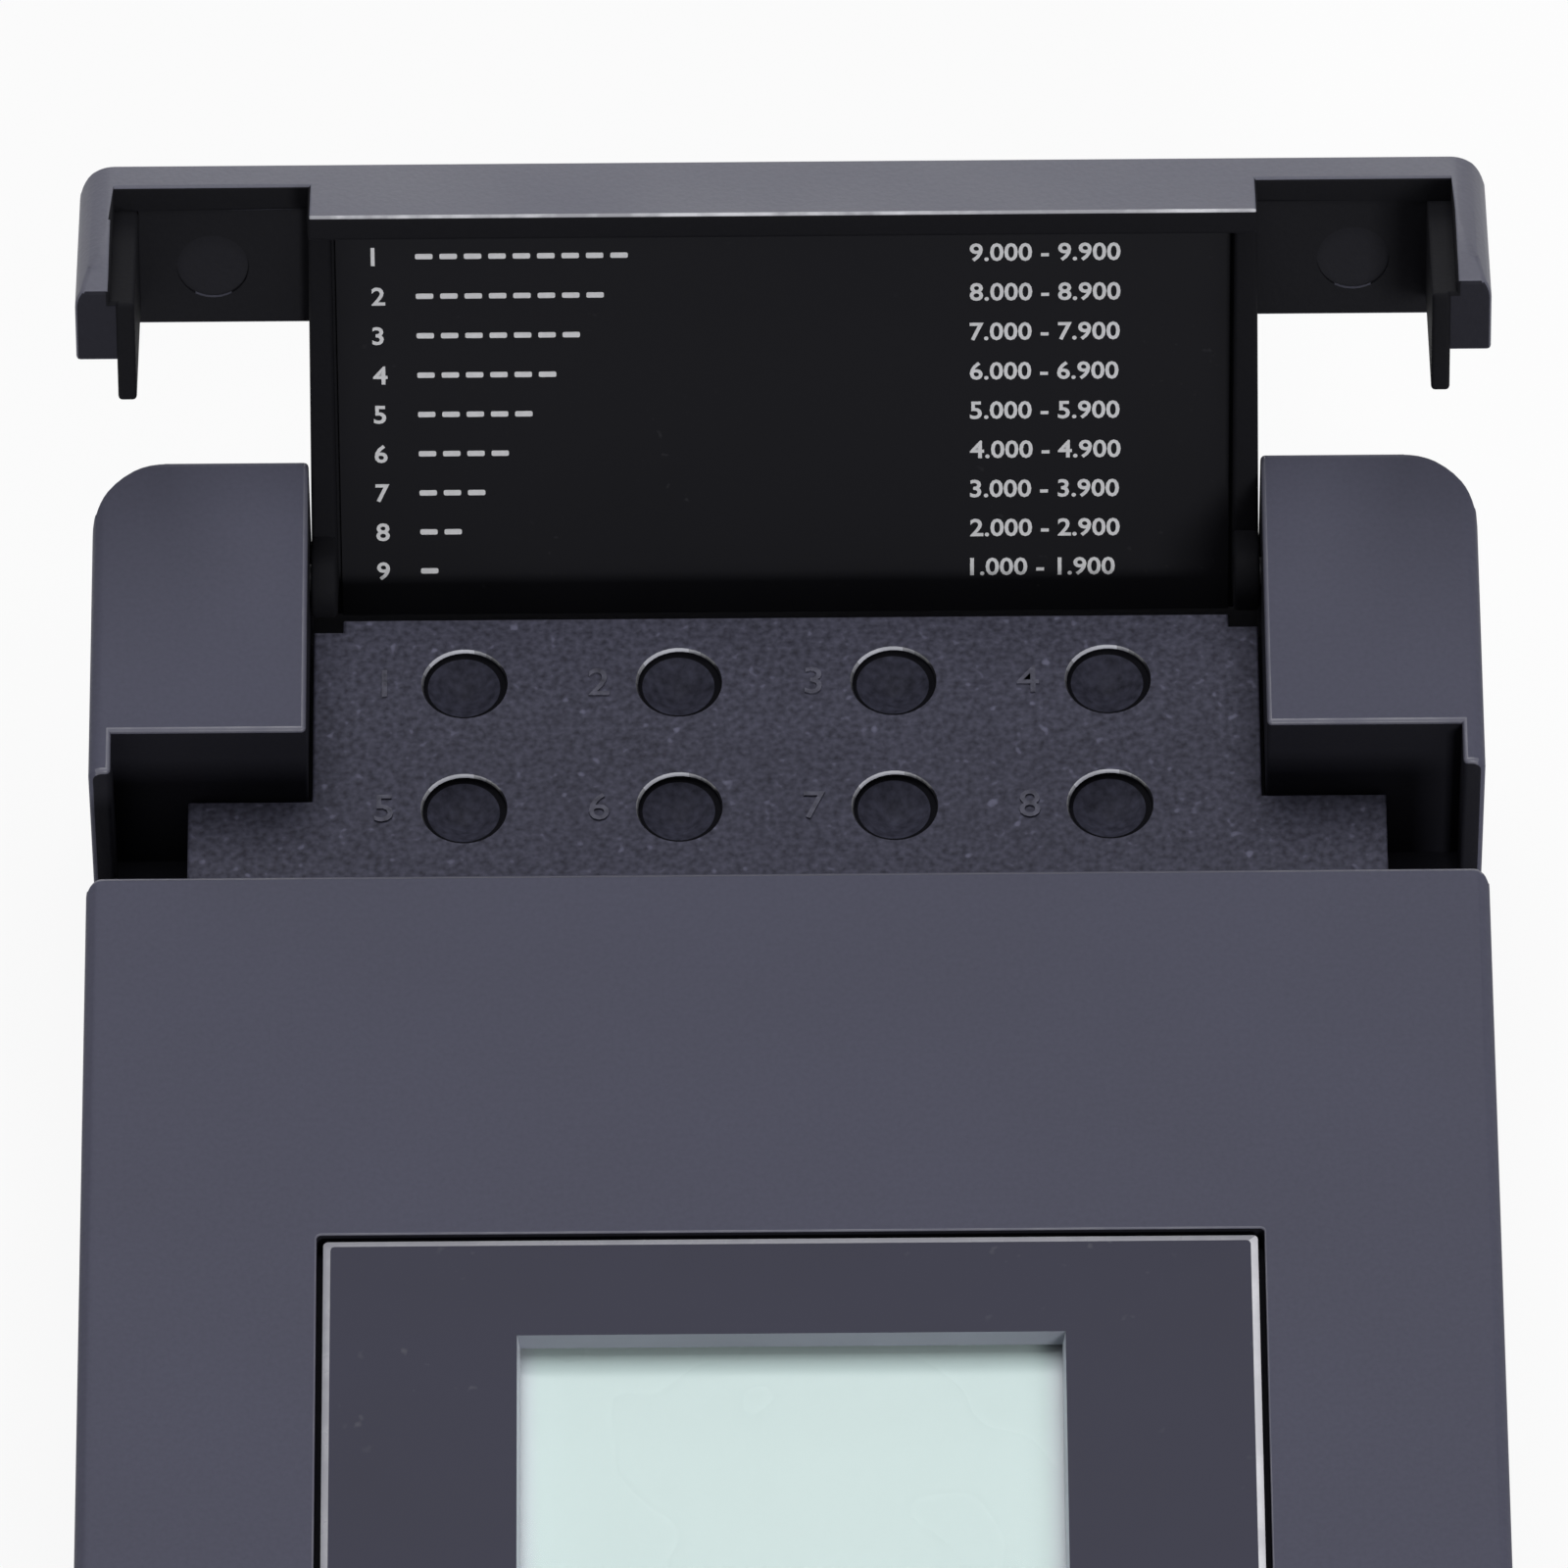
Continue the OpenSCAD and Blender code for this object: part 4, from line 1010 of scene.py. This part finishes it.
@dataclass
class FlipLid:
    """Flip-up lid with its printed chart and hinge pins. Its sizes are those of the closed lid.

    Attributes:
        hinge: Point on the hinge's axis.
        opened: Angle by which the lid rests open, in degrees.
        front_y: Front end of the lid.
        film_z: Height of the chart's printed face.
        first_row: First row's distance from the front end.
        row_pitch: Distance between rows.
        rows: Number of rows.
        cap: Height of the numerals.
        bold: Share of that height by which their strokes grow.
        left_x: Start of the row numbers.
        dash_x: Start of the dashes.
        dash_pitch: Distance between dashes.
        dash: Length and width of a dash.
        dash_corner: Rounding of a dash's corners.
        right_x: Start of the ranges.
        ink: Thickness of the print.
        edge: Rounding of the lid's edges.
        lip_y: Inner face of the front lip.
        plate_z: Inner face of the lid's plate.
        lip_z: Height of the front lip's lower edge, paled partly by wear and partly by painted highlight.
        stem_x: Half the stem's width.
        stem_y: Where the stem starts behind the wings.
        swell: Distance by which the stem's sides swell towards the ears.
        skirt_x: Distance of the skirts' inner faces from the middle, with a little room.
        mark: X and Y of the shallow round mark on each wing.
        mark_reach: Radius of that mark, with a little room.
    """

    hinge: tuple[float, float, float] = (0.0, 70.2 * MM, 22 * MM)
    opened: float = 110.0
    front_y: float = 46.9 * MM
    film_z: float = 25.1 * MM
    first_row: float = 4.4 * MM
    row_pitch: float = 2.52 * MM
    rows: int = 9
    cap: float = 1.15 * MM
    bold: float = 0.018
    left_x: float = -22.3 * MM
    dash_x: float = -19.9 * MM
    dash_pitch: float = 1.32 * MM
    dash: tuple[float, float] = (0.95 * MM, 0.34 * MM)
    dash_corner: float = 0.1 * MM
    right_x: float = 10.1 * MM
    ink: float = 0.02 * MM
    edge: float = 0.22 * MM
    lip_y: float = 48.4 * MM
    plate_z: float = 25.4 * MM
    lip_z: float = 22.4 * MM
    stem_x: float = 25.6 * MM
    stem_y: float = 56.2 * MM
    swell: float = 0.2 * MM
    skirt_x: float = 36.6 * MM
    mark: tuple[float, float] = (30.85 * MM, 52.02 * MM)
    mark_reach: float = 2.2 * MM

    def swing(self) -> Matrix:
        """Turn from the closed lid to the open one."""
        pivot = Matrix.Translation(self.hinge)
        return pivot @ Matrix.Rotation(math.radians(-self.opened), 4, "X") @ pivot.inverted()

    def has_edge(self, point: Vector) -> bool:
        """Say whether an edge at a point is rounded: all but those of the shallow round marks."""
        flat = self.swing().inverted() @ point
        return math.dist((abs(flat.x), flat.y), self.mark) > self.mark_reach

    def finish_at(self, face: Face) -> int:
        """Choose the finish of one face of the lid.

        Args:
            face: Face of the open lid.

        Returns:
            0 for the lip and skirts, a lighter copy of the slate as painted light, 1 for the inside, darkened
            as painted shade, 2 for the lip's lower edge, paled partly by wear and partly by painted
            highlight, 3 for the skirts' ends, 4 for the plate's inner face and 5 for the round marks, these
            three darkened as painted shade, 6 for the plate's outer face.
        """
        back = self.swing().inverted()
        point = back @ face.calc_center_median()
        facing = back.to_3x3() @ face.normal
        between = abs(point.x) < self.skirt_x
        if facing.z > FACES_ALONG:
            return 6
        if facing.z < FACES_DOWN and abs(point.x) > self.skirt_x:
            return 3
        if facing.z < FACES_DOWN and point.z > self.plate_z - self.ink:
            return 5 if point.z > self.plate_z + self.ink else 4
        if facing.z < FACES_DOWN or (between and abs(facing.x) > FACES_ALONG):
            return 1
        if between and point.y > self.lip_y - self.edge and point.z < self.plate_z:
            return 1
        # The lip's lower edge is paled partly by wear and partly by painted highlight.
        pale_lip_edge = point.z < self.lip_z and facing.y < 0 and abs(point.x) < self.stem_x and facing.z < -LEANS
        return 2 if pale_lip_edge else 0

    def printed(self, x: float, row: int, tall: float) -> Matrix:
        """Give the place of a print on the open lid.

        Args:
            x: Left end of the print.
            row: Number of its row, from 0.
            tall: Height of the print.

        Returns:
            Place of a print that lies on the XY plane, with its lower left corner at the origin.
        """
        y = self.front_y + self.first_row + row * self.row_pitch + tall / 2
        return self.swing() @ Matrix.Translation((x, y, self.film_z)) @ Matrix.Rotation(math.pi, 4, "X")

    def chart(self) -> Shape:
        """Make the chart's print: row numbers, dashes and round-number ranges.

        Returns:
            The print, on the open lid.
        """
        chart = bmesh.new()
        long, wide = self.dash
        middle = Matrix.Translation((long / 2, wide / 2, 0))
        for row in range(self.rows):
            left = self.rows - row
            for x, words in ((self.left_x, str(row + 1)), (self.right_x, f"{left}.000 - {left}.900")):
                join(chart, numerals(words, self.cap, self.ink, self.bold), self.printed(x, row, self.cap))
            for step in range(left):
                where = self.printed(self.dash_x + step * self.dash_pitch, row, wide)
                join(chart, slab((long, wide, self.ink), self.dash_corner), where @ middle)
        return chart

    def build(self) -> None:
        """Round the lid's edges, swell its stem and print its chart."""
        lid = copied("lid_cover")
        soften(lid, self.edge, self.has_edge)
        back = self.swing().inverted()
        stem = [vert for vert in lid.verts if (back @ vert.co).y > self.stem_y]
        for side in (-1, 1):
            edge = [vert for vert in stem if abs(side * vert.co.x - self.stem_x) < 2 * self.edge]
            bmesh.ops.translate(lid, verts=edge, vec=(side * self.swell, 0, 0))
        lid.normal_update()
        for face in lid.faces:
            face.material_index = self.finish_at(face)
        # The lip and skirts take a lighter copy of the slate as painted light; the inside, skirt ends, plate
        # and marks are darkened as painted shade; the lip's lower edge is paled partly by wear and partly by
        # painted highlight.
        finishes = [LID_SLATE_LIT, LID_INSIDE_SHADE, LIP_EDGE_WEAR_AND_HIGHLIGHT, LID_FOOT_SHADE, LID_PLATE_SHADE, LID_MARK_SHADE, SLATE]
        place(lid, "lid_shell", Body.LID, "lid_plastic", finishes, ["lid_cover"])
        dress(CHART_FILM, "lid_chart")
        dress(BLACKENED, "hinge_pins")
        place(self.chart(), "chart_print", Body.LID, "chart_print", [WHITE_INK])


@dataclass
class StoneTray:
    """Textured tray with numbered wells.

    Attributes:
        pitch_x: Distance between wells across the tray.
        rows: Y of the rear and the front row of wells.
        beside: Distance from a well to the middle of its numeral.
        tall: Height of a numeral.
        bold: Share of that height by which its strokes grow.
        raised: Height by which a numeral stands out.
        rooted: Depth to which a numeral goes down into the tray.
        edge: Rounding of the tray's edges.
        well_d: Width of a well.
        well_depth: Depth of a well.
        bevel: Width and depth of the bevel at a well's mouth.
        wall: Height of a well's upright wall below that bevel; the wall is darkened as painted shade.
        ring: Share of the well's width inside the dark ring of painted shade below that wall.
        tip: Share of the well's width at its tip.
        worn: Direction in which each well's mouth carries its palest painted highlight; the other side fades
            to painted shade.
        lean: Distance by which a well's wall stands off the middle, away from the side with the painted
            highlight, which widens that highlight. The dark ring of painted shade below the wall stands off
            about as far the other way.
    """

    pitch_x: float = 11.65 * MM
    rows: tuple[float, float] = (64.11 * MM, 55.65 * MM)
    beside: float = 4.35 * MM
    tall: float = 1.8 * MM
    bold: float = 0.004
    raised: float = 0.12 * MM
    rooted: float = 0.05 * MM
    edge: float = 0.15 * MM
    well_d: float = 4.7 * MM
    well_depth: float = 1.5 * MM
    bevel: tuple[float, float] = (0.09 * MM, 0.12 * MM)
    wall: float = 0.2 * MM
    ring: float = 0.87
    tip: float = 0.12
    worn: tuple[float, float] = (-0.4, 0.9165)
    lean: float = 0.08 * MM

    def sink(self, tray: Shape, centre: Vector) -> None:
        """Give a well its bevelled mouth, with painted highlight fading to painted shade, its wall and the
        ring below it in painted shade, and its cone, darkened as painted shade.

        Args:
            tray: Tray with the plain well.
            centre: Middle of the well's mouth.
        """
        reach = self.well_d / 2 + MERGE
        inside = [face for face in tray.faces
                  if all((vert.co.xy - centre.xy).length < reach for vert in face.verts)]
        bmesh.ops.delete(tray, geom=inside, context="FACES")
        loop = [edge for edge in tray.edges
                if edge.is_boundary and (edge.verts[0].co.xy - centre.xy).length < reach + self.edge]
        mouth = 1 - 2 * self.bevel[0] / self.well_d
        steep = (self.well_depth - self.bevel[1] - self.wall) / (1 - self.tip)
        point = self.tip / self.ring
        worn = Vector(self.worn)
        held = centre - worn.to_3d() * self.lean / (1 - mouth)
        shadow = centre + worn.to_3d() * 2 * self.lean / (1 - self.ring)
        # The mouth's bevel takes painted highlight, palest on the lit side and fading to painted shade on the
        # far side.
        loop = drawn(tray, loop, -self.bevel[1], (mouth, mouth, 1), held, 3)
        last = len(WELL_MOUTH_LIGHT_AND_SHADE) - 1
        for face in {face for edge in loop for face in edge.link_faces}:
            share = worn.dot((face.calc_center_median().xy - centre.xy).normalized())
            face.material_index += min(int((1 - share) * last), last)
        # The wall and the ring below it are painted shade; the cone is darkened as painted shade.
        loop = drawn(tray, loop, -self.wall, (1, 1, 1), centre, 1)
        loop = drawn(tray, loop, (self.ring - 1) * steep, (self.ring, self.ring, 1), shadow, 1)
        loop = drawn(tray, loop, (self.tip - self.ring) * steep, (point, point, 1), centre, 2)
        for face in bmesh.ops.contextual_create(tray, geom=loop)["faces"]:
            face.material_index = 2

    def build(self) -> None:
        """Sink the wells and mould a numeral beside each."""
        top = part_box("stone_tray")[1].z
        wells = [Vector(((column - 1.5) * self.pitch_x, y, top)) for y in self.rows for column in range(4)]
        reach = self.well_d / 2 + self.edge

        def outer(point: Vector) -> bool:
            """Say whether an edge at a point lies on the tray's top, away from the wells."""
            return point.z > top - self.edge and all((point - well).length > reach for well in wells)

        tray = copied("stone_tray")
        soften(tray, self.edge, outer)
        figures = bmesh.new()
        for number, well in enumerate(wells, start=1):
            self.sink(tray, well)
            figure = numerals(str(number), self.tall, self.raised + self.rooted, self.bold)
            wide = max(vert.co.x for vert in figure.verts)
            corner = (well.x - self.beside - wide / 2, well.y - self.tall / 2, top - self.rooted)
            join(figures, figure, Matrix.Translation(corner))
        bmesh.ops.recalc_face_normals(tray, faces=tray.faces)
        # The wells' wall, ring and cone finishes are painted shade; the mouths' finishes are painted
        # highlight fading to painted shade.
        finishes = [TRAY_GRAIN, WELL_WALL_SHADE, WELL_CONE_SHADE, *WELL_MOUTH_LIGHT_AND_SHADE]
        place(tray, "tray_plate", Body.CASE, "tray_plastic", finishes, ["stone_tray"])
        place(figures, "tray_numerals", Body.CASE, "tray_plastic", [TRAY_FIGURE_WEAR_AND_HIGHLIGHT])


@dataclass
class DisplayUnit:
    """Display panel, its clear pane, the glass behind it and what carries that.

    Attributes:
        chamfer: Width of the panel's pale rim.
        fall: Depth by which that rim slopes down.
        corner: Rounding of the panel's corners.
        window: Width and length of the window.
        setback: Width of the panel above the window.
        slope: Slope of the window's left and right walls.
    """

    chamfer: float = 0.38 * MM
    fall: float = 0.1 * MM
    corner: float = 0.25 * MM
    window: tuple[float, float] = (28.9 * MM, 22 * MM)
    setback: float = 6.2 * MM
    slope: float = 0.15 * MM

    def panel(self, low: Vector, high: Vector) -> Shape:
        """Make the panel as a frame: face, chamfer, sides, window walls and underside.

        Args:
            low: Lowest corner of the panel.
            high: Highest corner of the panel.

        Returns:
            The panel, with finish 1 on its rim, 2 on the window's end walls as painted shade, 3 on its side
            walls as painted light and 4 on the right-hand stretch of the rim as a painted glint.
        """
        size, middle = high - low, (low + high) / 2
        shape = bmesh.new()
        bmesh.ops.create_grid(shape, x_segments=1, y_segments=1, size=0.5)
        face = (size.x - 2 * self.chamfer, size.y - 2 * self.chamfer)
        raised = Vector((middle.x, middle.y, high.z))
        shape.transform(Matrix.Translation(raised) @ Matrix.Diagonal((*face, 1.0, 1.0)))
        rim = list(shape.verts)
        hole = list(shape.faces)
        bmesh.ops.inset_individual(shape, faces=hole, thickness=self.setback)
        inner = list(hole[0].verts)
        fit = [wide / (max(vert.co[axis] for vert in inner) - min(vert.co[axis] for vert in inner))
               for axis, wide in enumerate(self.window)]
        centre = Vector((middle.x, high.y - self.setback - self.window[1] / 2, high.z))
        bmesh.ops.scale(shape, verts=inner, vec=(*fit, 1.0), space=Matrix.Translation(-raised))
        bmesh.ops.translate(shape, verts=inner, vec=centre - raised)
        bmesh.ops.delete(shape, geom=hole, context="FACES_ONLY")
        bmesh.ops.bevel(shape, geom=rim, offset=self.corner, offset_type="OFFSET", segments=3, profile=0.5,
                        affect="VERTICES", material=-1)
        edges = [edge for edge in shape.edges if edge.is_boundary]
        walls = [edge for edge in edges if all(vert in inner for vert in edge.verts)]
        outside = [edge for edge in edges if edge not in walls]
        grown = (size.x / face[0], size.y / face[1], 1.0)
        narrow = 1 - 2 * self.slope / self.window[0]
        below = drawn(shape, walls, -size.z, (narrow, 1, 1), centre, 2)
        sides = drawn(shape, outside, -self.fall, grown, middle, 1)
        under = drawn(shape, sides, self.fall - size.z, (1, 1, 1), middle, 0)
        bmesh.ops.bridge_loops(shape, edges=below + under)
        bmesh.ops.recalc_face_normals(shape, faces=shape.faces)
        # The window's end walls take painted shade and its side walls painted light.
        for face in shape.faces:
            if face.material_index == 2 and abs(face.normal.x) > FACES_ALONG:
                face.material_index = 3
            # The right-hand stretch of the rim takes the painted glint.
            elif face.material_index == 1 and face.normal.x > LEANS:
                face.material_index = 4
        return shape

    def build(self) -> None:
        """Make the panel and finish what lies behind it."""
        panel = self.panel(*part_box("display_bezel"))
        finishes = [PANEL, PANEL_RIM, WINDOW_END_SHADE, WINDOW_SIDE_LIT, PANEL_RIM_GLINT]
        place(panel, "display_panel", Body.CASE, "panel_print", finishes, ["display_bezel"])
        dress(PANE, "display_pane")
        dress(LCD_FACE, "lcd_glass")
        dress(BLACK_MOULDING, "lcd_holder")
        dress(ZEBRA, "elastomer_strips")


class Mark(Enum):
    """Plain sign on a key."""

    POWER = "power"
    ARROW = "arrow"
    DOT = "dot"


@dataclass
class KeyPad:
    """Three sprung keys with plain signs.

    Attributes:
        edge: Rounding of a key's top.
        size: Height of a sign.
        line: Width of a sign's lines.
        ink: Thickness of the print.
        ring: Start and sweep of the power sign's ring, in degrees.
        stem: Middle of the power sign's bar, as a share of the sign's height.
        reach: Reach of the arrow's tips, as a share of the sign's height.
    """

    edge: float = 0.45 * MM
    size: float = 2.6 * MM
    line: float = 0.42 * MM
    ink: float = 0.02 * MM
    ring: tuple[float, float] = (125.0, 290.0)
    stem: float = 0.4
    reach: float = 0.6

    def sign(self, mark: Mark) -> Shape:
        """Draw a key's sign on the XY plane, about the origin.

        Args:
            mark: Sign to draw.

        Returns:
            The sign.
        """
        if mark is Mark.ARROW:
            return bar(self.size * self.reach, self.ink, 3)
        if mark is Mark.DOT:
            return bar(self.size / 2, self.ink, 40)
        shape = arc(self.size / 2, self.line, self.ink, *self.ring)
        upright = slab((self.line, self.size / 2, self.ink))
        join(shape, upright, Matrix.Translation((0, self.size * self.stem, 0)))
        return shape

    def build(self) -> None:
        """Round each key's top and print its sign."""
        keys = ((Body.POWER, Mark.POWER), (Body.SCROLL, Mark.ARROW), (Body.TEST, Mark.DOT))
        for body, mark in keys:
            node = body.value
            low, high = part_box(node)
            key = copied(node)
            soften(key, self.edge, lambda point, top=high.z: point.z > top - self.edge, 4)
            place(key, f"{node}_cap", body, "key_rubber", [KEY_RUBBER], [node])
            middle = (low + high) / 2
            sign = self.sign(mark)
            sign.transform(Matrix.Translation((middle.x, middle.y, high.z - self.ink / 4)))
            place(sign, f"{node}_sign", body, "key_rubber", [WHITE_INK])


@dataclass
class TestStage:
    """Dished stage for the stone, and the optics below it.

    Attributes:
        edge: Rounding of the stage's rims.
    """

    edge: float = 0.18 * MM

    def build(self) -> None:
        """Round the stage's rims and finish the optics."""
        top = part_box("aperture_plate")[1].z
        plate = copied("aperture_plate")
        soften(plate, self.edge, lambda point: point.z > top - self.edge)
        place(plate, "stage_plate", Body.CASE, "stage_metal", [TURNED], ["aperture_plate"])
        dress(PANE, "aperture_glass")
        dress(BLACK_MOULDING, "optics_block", "photodiode")
        dress(RESIN, "light_emitter")
        dress(STEEL, "optics_screws")


@dataclass
class BatteryBay:
    """Sliding door, cells and contact springs.

    Attributes:
        edge: Rounding of the door's edges.
    """

    edge: float = 0.2 * MM

    def build(self) -> None:
        """Round the door's lower edges and finish the cells."""
        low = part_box("battery_door")[0]
        door = copied("battery_door")
        soften(door, self.edge, lambda point: point.z < low.z + 2 * self.edge)
        place(door, "door_slide", Body.DOOR, "case_plastic", [SLATE], ["battery_door"])
        dress(CELL, "battery_cells")
        dress(SPRING_METAL, "battery_contacts")


@dataclass
class BoardStack:
    """Circuit board with its parts."""

    def build(self) -> None:
        """Finish the board and its parts."""
        dress(BOARD, "main_board")
        dress(BLACK_MOULDING, "processor_chip", "support_chips", "beeper", "tact_switches")
        dress(STEEL, "board_screws")


@dataclass(frozen=True)
class Softbox:
    """Square soft lamp.

    Attributes:
        name: Name of the lamp.
        spot: Place of the lamp.
        side: Side of its square.
        level: Brightness. A level of 1 makes a white sheet that faces the lamp at the meter just white.
    """

    name: str
    spot: tuple[float, float, float]
    side: float
    level: float


@dataclass
class Studio:
    """Camera, pale floor and soft light.

    Attributes:
        aim: Point in the middle of the picture.
        distance: Distance from there to the camera.
        elevation: Camera's height above the horizon, in degrees.
        roll: Turn of the camera about its line of sight, in degrees.
        lens: Focal length in millimetres, for the sensor's width.
        sensor: Width of the sensor, in millimetres.
        clip: Nearest and farthest distance that the camera sees.
        floor_half: Half the floor's side.
        floor_drop: Distance of the floor below the meter's feet.
        floor_glow: Share of plain white in the floor as it is seen.
        sky: Brightness of the surroundings as they light the meter.
        cool: Blue of that light, as a share of its brightness.
        lamps: Soft lamps.
    """

    aim: tuple[float, float, float] = (-0.16 * MM, 52.5 * MM, 27 * MM)
    distance: float = 1.085
    elevation: float = 53.13
    roll: float = -0.44
    lens: float = 463.5
    sensor: float = 36.0
    clip: tuple[float, float] = (0.02, 50.0)
    floor_half: float = 4.0
    floor_drop: float = 0.1 * MM
    floor_glow: float = 0.9
    sky: float = 0.12
    cool: float = 1.06
    lamps: tuple[Softbox, ...] = (
        Softbox("softbox_above", (0.0, 0.38, 1.18), 0.9, 0.68),
        Softbox("softbox_behind", (0.0, 1.5, 0.38), 0.6, 0.15),
        Softbox("softbox_front", (0.4, -1.42, 0.56), 0.3, 0.44),
    )

    def hang(self, name: str, data: bpy.types.ID, spot: Vector, turn: Quaternion) -> bpy.types.Object:
        """Put a camera or a lamp in its place.

        Args:
            name: Name of the new object.
            data: The camera or lamp.
            spot: Its place.
            turn: Its turn.

        Returns:
            The new object.
        """
        holder = bpy.data.objects.new(name, data)
        holder.location = spot
        holder.rotation_mode = "QUATERNION"
        holder.rotation_quaternion = turn
        bpy.context.scene.collection.objects.link(holder)
        return holder

    def shoot(self) -> None:
        """Set up the camera."""
        data = bpy.data.cameras.new("photo_camera")
        data.lens = self.lens
        data.sensor_width = self.sensor
        data.clip_start, data.clip_end = self.clip
        rise = math.radians(self.elevation)
        back = Vector((0.0, -math.cos(rise), math.sin(rise)))
        turn = (-back).to_track_quat("-Z", "Y") @ Quaternion((0, 0, 1), math.radians(self.roll))
        spot = Vector(self.aim) + back * self.distance
        bpy.context.scene.camera = self.hang("photo_camera", data, spot, turn)
        bpy.context.scene.view_settings.view_transform = "Standard"

    def seen(self, tree: bpy.types.NodeTree) -> Socket:
        """Tell the rays that show the surroundings from those that light the meter.

        Args:
            tree: Node tree that needs to know.

        Returns:
            1 for camera, mirror and glass rays.
        """
        path = add_node(tree, "LightPath", {})
        value = path["Is Camera Ray"]
        for name in ("Is Glossy Ray", "Is Transmission Ray"):
            value = add_node(tree, "Math", {0: value, 1: path[name]}, operation="MAXIMUM")["Value"]
        return value

    def surroundings(self) -> None:
        """Make the world white to look at and dim as a light."""
        world = bpy.data.worlds.new("studio_world")
        world.use_nodes = True
        tree = world.node_tree
        dim = full((self.sky, self.sky, self.sky * self.cool))
        inputs = {MIX_SHARE: self.seen(tree), MIX_FIRST: dim, MIX_SECOND: full((1.0, 1.0, 1.0))}
        colour = add_node(tree, "Mix", inputs, data_type="RGBA")[MIX_RESULT]
        tree.links.new(colour, tree.nodes["Background"].inputs["Color"])
        bpy.context.scene.world = world

    def floor(self) -> None:
        """Lay a pale floor that keeps the meter's shadow."""
        shape = bmesh.new()
        bmesh.ops.create_grid(shape, x_segments=1, y_segments=1, size=self.floor_half)
        mesh = bpy.data.meshes.new("studio_floor")
        shape.to_mesh(mesh)
        shape.free()
        graph = Graph("studio_floor")
        graph.fixed({"Base Color": (0.9, 0.9, 0.9), "Roughness": 0.9, "Specular IOR Level": 0.0})
        glow = add_node(graph.tree, "Emission", {})["Emission"]
        share = graph.sums("MULTIPLY", self.seen(graph.tree), self.floor_glow)
        inputs = {0: share, 1: graph.shader.outputs["BSDF"], 2: glow}
        mixed = add_node(graph.tree, "MixShader", inputs)["Shader"]
        graph.tree.links.new(mixed, graph.output.inputs["Surface"])
        mesh.materials.append(graph.material)
        ground = bpy.data.objects.new("studio_floor", mesh)
        ground.location.z = -self.floor_drop
        bpy.context.scene.collection.objects.link(ground)

    def light(self) -> None:
        """Hang the soft lamps, each turned to the meter."""
        for box in self.lamps:
            lamp = bpy.data.lights.new(box.name, "AREA")
            lamp.shape = "SQUARE"
            lamp.size = box.side
            away = Vector(box.spot) - Vector(self.aim)
            lamp.energy = box.level * math.pi ** 2 * away.length_squared
            self.hang(box.name, lamp, Vector(box.spot), away.to_track_quat("Z", "Y"))

    def build(self) -> None:
        """Set up the surroundings, the floor and the lamps."""
        self.surroundings()
        self.floor()
        self.light()


def main() -> None:
    """Build the studio and every sub-assembly."""
    logging.basicConfig(level=logging.INFO, format="%(message)s", stream=sys.stdout)
    studio = Studio()
    studio.shoot()
    units = (CaseShells, FlipLid, StoneTray, DisplayUnit, KeyPad, TestStage, BatteryBay, BoardStack)
    for unit in units:
        log.info("%s", unit.__name__)
        unit().build()
    studio.build()


if __name__ == "__main__":
    main()
